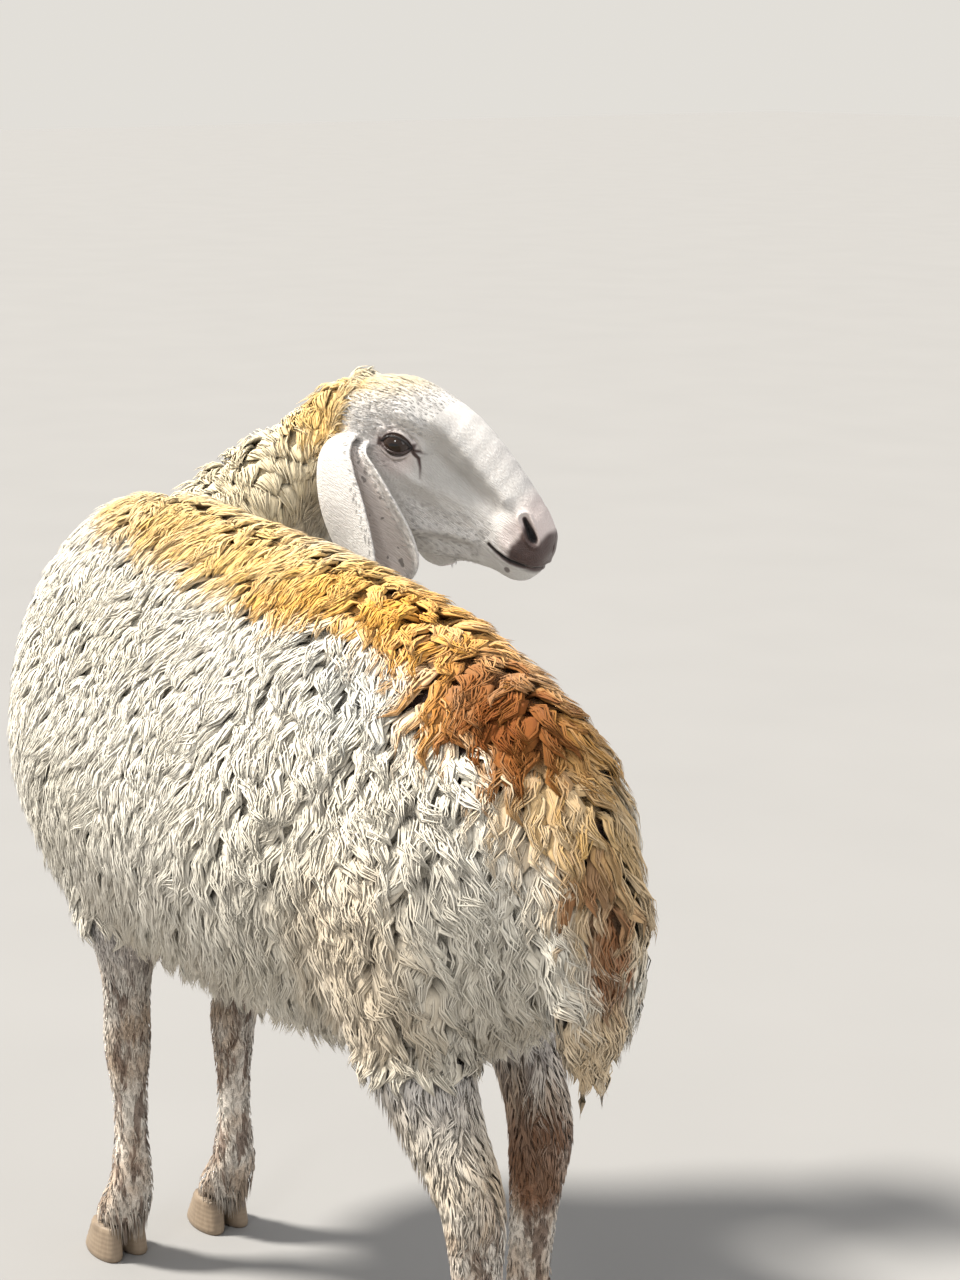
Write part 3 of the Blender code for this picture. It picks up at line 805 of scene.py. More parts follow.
def eyeball(side, hand):
    """A smooth eyeball with its cornea standing a little proud."""
    axes = eye_axes()
    ball = bmesh.new()
    bmesh.ops.create_uvsphere(ball, u_segments=64, v_segments=40, radius=EYE_RADIUS)
    mesh = bpy.data.meshes.new(f"eyeball_{side}")
    ball.to_mesh(mesh)
    ball.free()
    local = points_of(mesh)
    flat = np.linalg.norm(local[:, :2], axis=1)
    bulge = ease(CORNEA_EDGE, CORNEA_FULL, flat) * (local[:, 2] > 0)
    local = local * (1 + CORNEA_RISE * bulge)[:, None]
    with_mark(mesh, "gaze", local)
    set_points(mesh, from_head((local @ axes + EYE_PLACE) * (1, hand, 1)))
    if hand < 0:
        mesh.flip_normals()
    mesh.shade_smooth()
    obj = new_object(f"eyeball_{side}", mesh)
    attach(obj, "root")
    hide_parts(f"eye_{side}")
    return obj


HEEL_SHARE = 0.415  # of a claw's length, behind its foot's middle
TOE_SHARE = 0.585  # and ahead of it
HEEL_DRAW = 0.038  # what the top loses of the heel's share
TOE_DRAW = 0.247  # and of the toe's
CLAW_RINGS = 5  # rings of growth, from rim to top
RING_RELIEF = 0.0004


def claw(node):
    """A claw with a rounded rim, its walls ringed by growth, filling the node's own box."""
    low, high = (np.array(corner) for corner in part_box(node))
    length, width, height = high - low
    turn = 1 if ("outer" in node) == ("left" in node) else -1
    inner_wall = low[1] if turn > 0 else high[1]
    foot = low[0] + HEEL_SHARE * length
    around, up = 40, 16
    rings = []
    for row in range(up + 1):
        rise = 1 - row / up
        rim = 0.0018 * float(ease(0.10, 0.0, rise)) + 0.0010 * float(ease(0.92, 1.0, rise))
        growth = RING_RELIEF * math.sin(rise * 2 * math.pi * CLAW_RINGS) * (rise > 0.08)
        toe = length * (TOE_SHARE - TOE_DRAW * rise) - rim + growth
        heel = length * (HEEL_SHARE - HEEL_DRAW * rise) - rim
        half = width * (0.5 - 0.07 * rise)
        ring = []
        for k in range(around):
            a = 2 * math.pi * k / around
            along, across = math.cos(a), math.sin(a)
            narrow = 1 - 0.55 * max(along, 0.0) ** 2 * (0.4 + 0.6 * (across > 0))
            y = half + (half - rim) * math.copysign(abs(across) ** 0.8, across) * narrow
            x = toe * along if along > 0 else heel * along
            ring.append((foot + x, inner_wall + turn * y, low[2] + rise * height))
        rings.append(ring)
    mesh = bpy.data.meshes.new(node + "_horn")
    shape = cage(rings)
    shape.to_mesh(mesh)
    shape.free()
    mesh.shade_smooth()
    with_mark(mesh, "place", points_of(mesh))
    obj = new_object(node + "_horn", mesh)
    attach(obj, "root")
    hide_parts(node)
    return obj


# ---------------------------------------------------------------- finishes
class Tree:
    """Adds nodes to a tree. A value is a number, a colour, a vector or another node's socket."""

    def __init__(self, tree):
        self.tree = tree

    def give(self, socket, value):
        """Joins another node's socket to this one, or sets its value."""
        if isinstance(value, bpy.types.NodeSocket):
            self.tree.links.new(value, socket)
        else:
            socket.default_value = value

    def add(self, kind, values=(), out=0, **settings):
        """A new node with those values on its inputs. Gives its output named or numbered out."""
        node = self.tree.nodes.new(kind)
        for key, value in settings.items():
            setattr(node, key, value)
        for key, value in dict(values).items():
            self.give(node.inputs[key], value)
        return node.outputs[out]

    def math(self, operation, *values):
        """A sum of numbers."""
        return self.add("ShaderNodeMath", enumerate(values), operation=operation)

    def times(self, a, b):
        """One number times the other."""
        return self.math("MULTIPLY", a, b)

    def vector(self, operation, *values, out=0):
        """A sum of vectors; its length or distance is output 1."""
        return self.add("ShaderNodeVectorMath", enumerate(values), out, operation=operation)

    def scaled(self, vector, by):
        """A vector or colour times a number."""
        return self.add("ShaderNodeVectorMath", {0: vector, "Scale": by}, operation="SCALE")

    def mixed(self, a, b, share):
        """Colour a where the share is 0, b where it is 1."""
        return self.add("ShaderNodeMix", {0: share, 6: a, 7: b}, 2, data_type="RGBA")

    def noise(self, place, scale, detail=2.0, roughness=0.5, out=0):
        """Cloudy values, or their colour as output 1."""
        values = {"Vector": place, "Scale": scale, "Detail": detail, "Roughness": roughness}
        return self.add("ShaderNodeTexNoise", values, out)

    def between(self, value, low, high, to_low=0.0, to_high=1.0):
        """The value eased from to_low, at low, to to_high, at high."""
        values = {"Value": value, "From Min": low, "From Max": high, "To Min": to_low, "To Max": to_high}
        return self.add("ShaderNodeMapRange", values, interpolation_type="SMOOTHSTEP")

    def mark(self, name, out):
        """A mark stored on the mesh: output 1 of a vector, 2 of a number."""
        return self.add("ShaderNodeAttribute", (), out, attribute_name=name)

    def apart(self, vector):
        """The three numbers of a vector."""
        node = self.tree.nodes.new("ShaderNodeSeparateXYZ")
        self.give(node.inputs[0], vector)
        return node.outputs

    def group(self, group, values, out=0):
        """The group, placed with its own values."""
        node = self.tree.nodes.new("ShaderNodeGroup")
        node.node_tree = group
        for key, value in values.items():
            self.give(node.inputs[key], value)
        return node.outputs[out]

    def patch(self, soft_patch, place, centre, size, ragged):
        """Mask of an oval patch at a place of the frame."""
        values = {"Place": place, "Centre": tuple(centre), "Size": size, "Ragged": ragged}
        return self.group(soft_patch, values)

def new_group(name, takes, gives):
    """An empty shader group with those sockets. Returns (tree, its inputs, the node to give results to)."""
    group = bpy.data.node_groups.new(name, "ShaderNodeTree")
    kinds = {"value": "NodeSocketFloat", "vector": "NodeSocketVector", "colour": "NodeSocketColor"}
    for socket, kind in takes.items():
        group.interface.new_socket(name=socket, in_out="INPUT", socket_type=kinds[kind])
    for socket, kind in gives.items():
        group.interface.new_socket(name=socket, in_out="OUTPUT", socket_type=kinds[kind])
    inputs = group.nodes.new("NodeGroupInput").outputs
    results = group.nodes.new("NodeGroupOutput").inputs
    return Tree(group), inputs, results


def colour(red, green, blue):
    """A colour from the strengths of its light, 0 to 1."""
    return (red, green, blue, 1.0)


def soft_patch_group():
    """Mask of an oval patch with a ragged, soft edge."""
    takes = {"Place": "vector", "Centre": "vector", "Size": "vector", "Ragged": "value"}
    tree, given, results = new_group("soft_patch", takes, {"Mask": "value"})
    stray = tree.noise(given["Place"], 22.0, 3.0, 0.6, out=1)
    stray = tree.vector("SUBTRACT", stray, (0.5, 0.5, 0.5))
    stray = tree.scaled(stray, given["Ragged"])
    offset = tree.vector("SUBTRACT", tree.vector("ADD", given["Place"], stray), given["Centre"])
    away = tree.vector("LENGTH", tree.vector("DIVIDE", offset, given["Size"]), out=1)
    tree.give(results["Mask"], tree.between(away, 0.55, 1.25, 1.0, 0.0))
    return tree.tree


CREAM = colour(0.96, 0.90, 0.77)
GREY_CREAM = colour(0.84, 0.77, 0.62)
PAINTED_THIGH_SHADE = colour(0.72, 0.65, 0.52)
DUSTY = colour(0.60, 0.49, 0.36)
YELLOW_DYE = colour(0.96, 0.57, 0.14)
ORANGE_DYE = colour(0.84, 0.38, 0.045)
BURNT_DYE = colour(0.23, 0.060, 0.006)
TAN = colour(0.68, 0.40, 0.115)
DEEP_ORANGE = colour(0.56, 0.25, 0.03)
PEACH = colour(0.78, 0.58, 0.36)
BROWN_STAIN = colour(0.17, 0.085, 0.045)
GREY_BROWN = colour(0.45, 0.33, 0.22)
PALE_DYE = colour(0.90, 0.74, 0.45)
COOL = colour(0.66, 0.69, 0.68)
DARK_SPECK = colour(0.16, 0.14, 0.12)

DYE = (
    # tint, centre and reach in the sheep's own axes, how ragged, how strong
    (YELLOW_DYE, (0.215, 0.010, 0.785), (0.085, 0.062, 0.050), 0.07, 0.95),
    (YELLOW_DYE, (0.090, 0.015, 0.775), (0.100, 0.062, 0.050), 0.07, 0.90),
    (YELLOW_DYE, (-0.030, 0.030, 0.760), (0.095, 0.056, 0.050), 0.06, 0.92),
    (YELLOW_DYE, (-0.130, 0.005, 0.765), (0.085, 0.068, 0.055), 0.06, 0.95),
    (ORANGE_DYE, (-0.060, 0.050, 0.748), (0.060, 0.025, 0.025), 0.05, 0.60),
    (ORANGE_DYE, (-0.120, 0.020, 0.765), (0.070, 0.050, 0.045), 0.06, 0.55),
    (TAN, (-0.375, -0.005, 0.650), (0.070, 0.075, 0.090), 0.07, 0.92),
    (TAN, (-0.425, -0.015, 0.570), (0.045, 0.065, 0.080), 0.07, 0.75),
    (ORANGE_DYE, (-0.210, 0.010, 0.745), (0.078, 0.062, 0.050), 0.05, 0.97),
    (ORANGE_DYE, (-0.295, 0.022, 0.710), (0.072, 0.064, 0.060), 0.05, 0.97),
    (DEEP_ORANGE, (-0.350, 0.000, 0.690), (0.050, 0.060, 0.060), 0.05, 0.90),
    (BURNT_DYE, (-0.306, 0.026, 0.712), (0.058, 0.046, 0.050), 0.04, 1.0),
    (BURNT_DYE, (-0.352, 0.026, 0.688), (0.050, 0.040, 0.050), 0.04, 1.0),
    # painted shade: a duller cream over the left thigh
    (PAINTED_THIGH_SHADE, (-0.240, 0.130, 0.520), (0.150, 0.090, 0.210), 0.08, 0.60),
    (PEACH, (-0.250, 0.120, 0.480), (0.080, 0.060, 0.100), 0.07, 0.50),
    (BURNT_DYE, (-0.442, 0.014, 0.592), (0.042, 0.042, 0.036), 0.03, 0.97),
    (BURNT_DYE, (-0.446, 0.000, 0.520), (0.034, 0.028, 0.056), 0.03, 0.97),
    (BROWN_STAIN, (-0.244, -0.056, 0.337), (0.026, 0.024, 0.026), 0.03, 0.75),
    (BROWN_STAIN, (-0.110, 0.020, 0.345), (0.035, 0.040, 0.030), 0.03, 0.80),
    (PALE_DYE, (0.230, -0.090, 0.815), (0.130, 0.110, 0.095), 0.06, 0.85),
    (PALE_DYE, (0.215, -0.195, 0.880), (0.070, 0.070, 0.060), 0.05, 0.85),
    (TAN, (-0.425, 0.010, 0.425), (0.045, 0.045, 0.070), 0.05, 0.60),
    (YELLOW_DYE, (0.218, -0.168, 0.868), (0.050, 0.052, 0.044), 0.05, 0.85),
    (GREY_BROWN, (0.190, -0.150, 0.765), (0.045, 0.040, 0.045), 0.04, 0.45),
    (COOL, (-0.195, 0.075, 0.700), (0.055, 0.040, 0.045), 0.05, 0.50),
    (DARK_SPECK, (-0.016, 0.108, 0.690), (0.009, 0.009, 0.006), 0.006, 0.70),
    (DARK_SPECK, (-0.037, 0.137, 0.639), (0.007, 0.007, 0.007), 0.006, 0.70),
)


def fleece_markings_group(soft_patch):
    """The wool's colour at a place: cream, duller below, dyed along the back, hips and tail, painted shade on
    the left thigh.
    """
    takes = {"Place": "vector", "Whim": "value"}
    tree, given, results = new_group("fleece_markings", takes, {"Colour": "colour"})
    place = given["Place"]
    blotches = tree.between(tree.noise(place, 9.0, 3.0), 0.38, 0.66)
    wool = tree.mixed(CREAM, GREY_CREAM, tree.times(blotches, 0.55))
    height = tree.apart(place)[2]
    dirt = tree.between(height, 0.56, 0.34)
    low = tree.times(dirt, tree.between(tree.noise(place, 16.0, 3.0), 0.30, 0.70))
    wool = tree.mixed(wool, DUSTY, tree.times(low, 0.62))
    for tint, centre, size, ragged, strength in DYE:
        mask = tree.patch(soft_patch, place, np.array(centre) + SHIFT, size, ragged)
        patchy = tree.between(tree.noise(place, 55.0, 2.0), 0.20, 0.75, 0.65, 1.0)
        wool = tree.mixed(wool, tint, tree.times(tree.times(mask, patchy), strength))
    lighter = tree.between(given["Whim"], 0.0, 1.0, 0.94, 1.06)
    tree.give(results["Colour"], tree.scaled(wool, lighter))
    return tree.tree


def new_material(name, **shader_values):
    """A material with its own shader; constants go on the shader's sockets."""
    made = bpy.data.materials.new(name)
    made.use_nodes = True
    shader = made.node_tree.nodes["Principled BSDF"]
    for key, value in shader_values.items():
        shader.inputs[key.replace("_", " ")].default_value = value
    return made, Tree(made.node_tree), shader.inputs


def bump(tree, height, depth, strength):
    """A normal from a height, 0 to 1, of so many metres."""
    return tree.add("ShaderNodeBump", {"Height": height, "Distance": depth, "Strength": strength})


def soft_normal_group():
    """The normal of a strand drawn a share of the way to the normal of the skin below it."""
    takes = {"Outward": "vector", "Share": "value"}
    tree, given, results = new_group("soft_normal", takes, {"Normal": "vector"})
    own = tree.add("ShaderNodeNewGeometry", (), "Normal")
    away = tree.vector("SUBTRACT", given["Outward"], own)
    drawn = tree.scaled(away, given["Share"])
    tree.give(results["Normal"], tree.vector("NORMALIZE", tree.vector("ADD", own, drawn)))
    return tree.tree


def fibres_group():
    """Fine fibres along a lock, 0 to 1, from its own measure of the way round and along."""
    tree, given, results = new_group("fibres", {"Fibre": "vector", "Whim": "value"}, {"Height": "value"})
    apart = tree.add("ShaderNodeCombineXYZ", {2: tree.times(given["Whim"], 40.0)})
    place = tree.vector("ADD", tree.vector("MULTIPLY", given["Fibre"], (3.2, 3.2, 1.5)), apart)
    tree.give(results["Height"], tree.between(tree.noise(place, 1.6, 3.0, 0.65), 0.25, 0.75))
    return tree.tree


def fleece_material(markings, soft_normal):
    """Dull, slightly translucent wool, dyed in patches, painted shade towards each strand's root, its strands
    shaded softly.
    """
    made, tree, shader = new_material(
        "fleece",
        Sheen_Weight=0.15,
        Sheen_Roughness=0.6,
        Specular_IOR_Level=0.12,
        Subsurface_Weight=0.12,
        Subsurface_Scale=0.005,
        Subsurface_Radius=(1.0, 0.93, 0.84),
    )
    place, strand = tree.mark("place", 1), tree.mark("strand", 1)
    along, lock, single = tree.apart(strand)
    wool = tree.group(markings, {"Place": place, "Whim": lock})
    streaks = tree.group(fibres_group(), {"Fibre": tree.mark("fibre", 1), "Whim": single})
    # painted shade: darker towards each strand's root; with a random tone for each strand and its fibre
    # streaks
    shade = tree.times(tree.between(along, 0.0, 0.75, 0.92, 1.0), tree.between(single, 0.0, 1.0, 0.95, 1.03))
    shade = tree.times(shade, tree.between(streaks, 0.0, 1.0, 0.92, 1.03))
    tree.give(shader["Base Color"], tree.scaled(wool, shade))
    tree.give(shader["Roughness"], tree.between(single, 0.0, 1.0, 0.75, 0.90))
    soft = tree.group(soft_normal, {"Outward": tree.mark("outward", 1), "Share": 0.70})
    tree.give(shader["Normal"], soft)
    return made


HEAD_TURN = (0.0, 0.566, 3.647)  # of the head's own axes in the frame, in radians


def face_hair_group():
    """Short hair lying back along the face: its fine streaks, 0 to 1."""
    tree, given, results = new_group("face_hair", {"Place": "vector"}, {"Streaks": "value"})
    flow = {"Vector": given["Place"], "Rotation": HEAD_TURN}
    along_head = tree.add("ShaderNodeMapping", flow, vector_type="TEXTURE")
    lain = tree.vector("MULTIPLY", along_head, (90.0, 900.0, 900.0))
    tree.give(results["Streaks"], tree.between(tree.noise(lain, 1.0, 3.0, 0.6), 0.30, 0.70))
    return tree.tree


PINK = colour(0.72, 0.54, 0.51)
PAINTED_SHADE = colour(0.44, 0.43, 0.41)
FACE_TINTS = (
    # skin or dye that shows through the hair, and painted shade over the brow and the side of the nose:
    # place on the head's left, sides that have it, reach, tint, strength; one in the middle counts as on the
    # left
    ((0.240, 0.000, 0.010), (LEFT,), 0.034, PINK, 0.45),
    ((0.235, 0.030, -0.012), (LEFT, RIGHT), 0.022, PINK, 0.40),
    ((0.086, 0.054, -0.004), (LEFT, RIGHT), 0.026, PINK, 0.35),
    ((0.015, 0.000, 0.045), (LEFT,), 0.060, colour(0.90, 0.74, 0.46), 0.75),
    ((0.000, 0.030, 0.030), (RIGHT,), 0.030, YELLOW_DYE, 0.60),
    # painted shade: grey over the brow and along the side of the nose
    ((0.090, 0.040, 0.040), (RIGHT, LEFT), 0.028, PAINTED_SHADE, 0.45),
    ((0.132, 0.040, 0.012), (RIGHT, LEFT), 0.034, PAINTED_SHADE, 0.62),
    ((0.166, 0.036, 0.006), (RIGHT, LEFT), 0.024, PAINTED_SHADE, 0.45),
)


def short_hair_group(soft_patch):
    """The colour of the short hair at a place: white face, pinkish where it is thin, painted shade on brow
    and nose side, flecked brown legs.
    """
    takes = {"Place": "vector", "Hollow": "value", "Streaks": "value"}
    tree, given, results = new_group("short_hair", takes, {"Colour": "colour"})
    place, streaks = given["Place"], given["Streaks"]
    white = tree.mixed(colour(0.68, 0.645, 0.615), colour(0.80, 0.78, 0.75), streaks)
    grey = tree.between(tree.noise(place, 30.0, 3.0), 0.42, 0.70)
    hair = tree.mixed(white, colour(0.47, 0.43, 0.42), tree.times(grey, 0.22))
    for centre, hands, size, tint, strength in FACE_TINTS:
        for hand in hands:
            middle = from_head(np.array(centre) * (1, hand, 1))
            mask = tree.patch(soft_patch, place, middle, (size,) * 3, 0.01)
            hair = tree.mixed(hair, tint, tree.times(mask, strength))
    inside = tree.mixed(colour(0.60, 0.52, 0.48), colour(0.74, 0.67, 0.63), streaks)
    spots = tree.between(tree.noise(place, 105.0, 1.0), 0.645, 0.69)
    inside = tree.mixed(inside, colour(0.10, 0.08, 0.07), tree.times(spots, 0.8))
    hair = tree.mixed(hair, inside, tree.times(given["Hollow"], 0.85))
    low = tree.between(tree.apart(place)[2], 0.42, 0.30)
    run = tree.vector("MULTIPLY", place, (1.0, 1.0, 0.22))
    flecks = tree.between(tree.noise(run, 70.0, 3.0, 0.65), 0.50, 0.57)
    dusty = tree.between(tree.noise(place, 24.0, 2.0), 0.35, 0.65)
    shank = tree.mixed(colour(0.82, 0.75, 0.66), colour(0.60, 0.46, 0.34), dusty)
    shank = tree.mixed(shank, colour(0.15, 0.085, 0.055), tree.times(flecks, 0.80))
    # long pale hair over the hocks, and a stain inside the right one
    pale = tree.mixed(colour(0.95, 0.84, 0.67), colour(0.80, 0.65, 0.45), dusty)
    shaggy = tree.patch(soft_patch, place, SHIFT + (-0.240, 0.090, 0.330), (0.15, 0.09, 0.12), 0.04)
    shank = tree.mixed(shank, pale, tree.times(shaggy, 0.92))
    stain = tree.patch(soft_patch, place, SHIFT + (-0.250, -0.062, 0.250), (0.05, 0.04, 0.06), 0.03)
    shank = tree.mixed(shank, colour(0.27, 0.12, 0.052), tree.times(stain, 0.85))
    tree.give(results["Colour"], tree.mixed(hair, shank, low))
    return tree.tree


def skin_material(markings, short_hair_colour, face_hair):
    """Short hair on face, ears and legs, bare skin at eyes, nose and mouth, felted wool elsewhere."""
    made, tree, shader = new_material("skin", Sheen_Weight=0.12, Sheen_Roughness=0.5)
    place = tree.mark("place", 1)
    bare, hollow, haired = tree.mark("bare", 2), tree.mark("hollow", 2), tree.mark("haired", 2)
    streaks = tree.group(face_hair, {"Place": place})
    wool = tree.group(markings, {"Place": place, "Whim": tree.noise(place, 60.0)})
    hair = tree.group(short_hair_colour, {"Place": place, "Hollow": hollow, "Streaks": streaks})
    coat = tree.mixed(wool, hair, haired)
    raw, dry = colour(0.046, 0.025, 0.023), colour(0.095, 0.057, 0.050)
    bare_tone = tree.mixed(raw, dry, tree.noise(place, 200.0, 2.0))
    bare_tone = tree.mixed(bare_tone, colour(0.012, 0.008, 0.008), tree.between(bare, 1.0, 2.0))
    tree.give(shader["Base Color"], tree.mixed(coat, bare_tone, bare))
    tree.give(shader["Roughness"], tree.between(bare, 0.0, 1.0, 0.78, 0.34))
    grain = tree.add("ShaderNodeTexVoronoi", {"Vector": place, "Scale": 900.0})
    relief = tree.add("ShaderNodeMix", {0: bare, 2: streaks, 3: grain}, 0, data_type="FLOAT")
    tree.give(shader["Normal"], bump(tree, relief, 0.0007, 0.8))
    return made


def hair_material(short_hair_colour, soft_normal):
    """The short tufts, in the colours of the skin that they grow from, with painted shade towards their
    roots.
    """
    made, tree, shader = new_material("hair", Sheen_Weight=0.15, Sheen_Roughness=0.5, Specular_IOR_Level=0.3)
    along, lock, single = tree.apart(tree.mark("strand", 1))
    place = tree.mark("place", 1)
    values = {"Place": place, "Hollow": tree.mark("hollow", 2), "Streaks": single}
    hair = tree.group(short_hair_colour, values)
    # painted shade: darker towards each tuft's root; with a random tone for each lock
    shade = tree.times(tree.between(along, 0.0, 0.8, 0.95, 1.02), tree.between(lock, 0.0, 1.0, 0.95, 1.04))
    tree.give(shader["Base Color"], tree.scaled(hair, shade))
    tree.give(shader["Roughness"], tree.between(single, 0.0, 1.0, 0.65, 0.82))
    tree.give(shader["Normal"], tree.group(soft_normal, {"Outward": tree.mark("outward", 1), "Share": 0.90}))
    return made


def eye_material():
    """Dark brown iris round a level slot of a pupil, under a clear wet coat."""
    made, tree, shader = new_material(
        "eye",
        Coat_Weight=0.9,
        Coat_Roughness=0.03,
        IOR=1.38,
        Specular_IOR_Level=0.1,
    )
    gaze = tree.mark("gaze", 1)
    out = tree.apart(gaze)[2]
    flat = tree.vector("MULTIPLY", gaze, (1.0, 1.0, 0.0))
    away = tree.vector("LENGTH", flat, out=1)
    rays = tree.noise(tree.vector("NORMALIZE", flat), 9.0, 4.0, 0.7)
    iris = tree.mixed(colour(0.008, 0.004, 0.003), colour(0.036, 0.017, 0.008), rays)
    slot = tree.vector("LENGTH", tree.vector("DIVIDE", flat, (0.0057, 0.0024, 1.0)), out=1)
    iris = tree.mixed(colour(0.003, 0.003, 0.004), iris, tree.between(slot, 0.92, 1.06))
    white = tree.mixed(colour(0.020, 0.013, 0.011), colour(0.055, 0.038, 0.032), tree.noise(gaze, 300.0, 3.0))
    edge = tree.math("MAXIMUM", tree.between(away, 0.0105, 0.0121), tree.between(out, 0.002, 0.0))
    tree.give(shader["Base Color"], tree.mixed(iris, white, edge))
    tree.give(shader["Roughness"], tree.between(away, 0.0097, 0.0125, 0.06, 0.22))
    return made


def horn_material():
    """Pale cream horn, ringed by growth and streaked and stained by the ground."""
    made, tree, shader = new_material("horn", Specular_IOR_Level=0.4)
    place = tree.mark("place", 1)
    height = tree.apart(place)[2]
    streaks = tree.noise(tree.vector("MULTIPLY", place, (260.0, 260.0, 30.0)), 1.0, 3.0, 0.6)
    wave = tree.math("SINE", tree.times(tree.math("ADD", height, tree.times(streaks, 0.0015)), 1250.0))
    rings = tree.between(wave, -1.0, 1.0)
    horn = tree.mixed(colour(0.20, 0.145, 0.10), colour(0.37, 0.29, 0.205), streaks)
    horn = tree.mixed(horn, colour(0.15, 0.105, 0.07), tree.times(rings, 0.15))
    soil = tree.between(height, 0.016, 0.0)
    soil = tree.times(soil, tree.between(tree.noise(place, 90.0, 3.0), 0.35, 0.65))
    dark = tree.between(tree.noise(place, 26.0, 2.0), 0.52, 0.66)
    horn = tree.mixed(horn, colour(0.10, 0.075, 0.055), tree.times(dark, 0.6))
    tree.give(shader["Base Color"], tree.mixed(horn, colour(0.22, 0.165, 0.115), tree.times(soil, 0.8)))
    tree.give(shader["Roughness"], tree.between(streaks, 0.2, 0.8, 0.42, 0.66))
    tree.give(shader["Normal"], bump(tree, tree.math("ADD", tree.times(rings, 0.3), streaks), 0.0004, 0.8))
    return made


# ---------------------------------------------------------------- floor, light and camera
ROOM = 60.0  # size of the floor
FLOOR_TONES = (colour(0.275, 0.272, 0.268), colour(0.295, 0.291, 0.287))
SUN_WAY = (-0.38, -0.42, -0.82)  # where the key's light goes
GLINT_WAY = np.array((-0.476, 0.768, 0.426))  # from the eye towards the lamp that glints in it
GLINT_AWAY = 2.5
CAMERA_PLACE = (-2.00675, 1.37920, 1.232)  # in the sheep's own axes
CAMERA_LOOK = (0.765169, -0.605379, -0.219165)
CAMERA_LENS = 75.94  # millimetres
CAMERA_FILM = 36.0  # the film's longer side


def floor():
    """A plain pale floor."""
    bpy.ops.mesh.primitive_plane_add(size=ROOM, location=(0, 0, 0))
    made = bpy.context.object
    made.name = "floor"
    finish, tree, shader = new_material("floor", Roughness=0.9)
    grain = tree.noise(tree.add("ShaderNodeTexCoord", (), 3), 3.0, 2.0)
    tree.give(shader["Base Color"], tree.mixed(*FLOOR_TONES, grain))
    made.data.materials.append(finish)


def placed(name, what, place, look):
    """The light or camera at that place, facing along look."""
    made = bpy.data.objects.new(name, what)
    bpy.context.scene.collection.objects.link(made)
    made.location = place
    made.rotation_mode = "QUATERNION"
    made.rotation_quaternion = Vector(look).to_track_quat("-Z", "Y")
    return made


def lamp(name, place, aim, size, power, tone):
    """A round lamp that faces its aim."""
    light = bpy.data.lights.new(name, "AREA")
    light.shape = "DISK"
    light.size = size
    light.energy = power
    light.color = tone
    placed(name, light, place, Vector(aim) - Vector(place))


def studio():
    """A broad key high on the sheep's left, a weak fill behind, a glint in its right eye, a pale room."""
    key = bpy.data.lights.new("key", "SUN")
    key.energy = 7.0
    key.angle = math.radians(9)
    key.color = (1.0, 0.955, 0.88)
    placed("key", key, (0, 0, 0), SUN_WAY)
    lamp("fill", (-3.8, -1.2, 2.2), (-0.05, 0.0, 0.55), 3.0, 38, (0.93, 0.96, 1.0))
    eye = from_head(EYE_PLACE * np.array((1, RIGHT, 1)))
    lamp("catch_light", eye + GLINT_WAY * GLINT_AWAY, eye, 0.42, 9.0, (1.0, 1.0, 1.0))
    world = bpy.data.worlds.new("room")
    world.use_nodes = True
    tree = Tree(world.node_tree)
    room = world.node_tree.nodes["Background"].inputs
    # the room lights the sheep in one tone and is seen in another, that of the floor far off
    seen = tree.add("ShaderNodeLightPath")
    tree.give(room["Color"], tree.mixed(colour(0.92, 0.91, 0.90), colour(1.06, 1.025, 0.96), seen))
    room["Strength"].default_value = 0.72
    bpy.context.scene.world = world
    bpy.context.scene.view_settings.view_transform = "Standard"


def camera():
    """The camera, behind the sheep's left and a little above its back."""
    place = np.array(CAMERA_PLACE) + SHIFT * (1, 1, 0)
    made = placed("camera", bpy.data.cameras.new("camera"), place, CAMERA_LOOK)
    made.data.lens = CAMERA_LENS
    made.data.sensor_width = CAMERA_FILM
    made.data.clip_start = 0.1
    bpy.context.scene.camera = made


# ---------------------------------------------------------------- the coat
CELLS_AROUND = [(i, j, k) for i in (-1, 0, 1) for j in (-1, 0, 1) for k in (-1, 0, 1)]


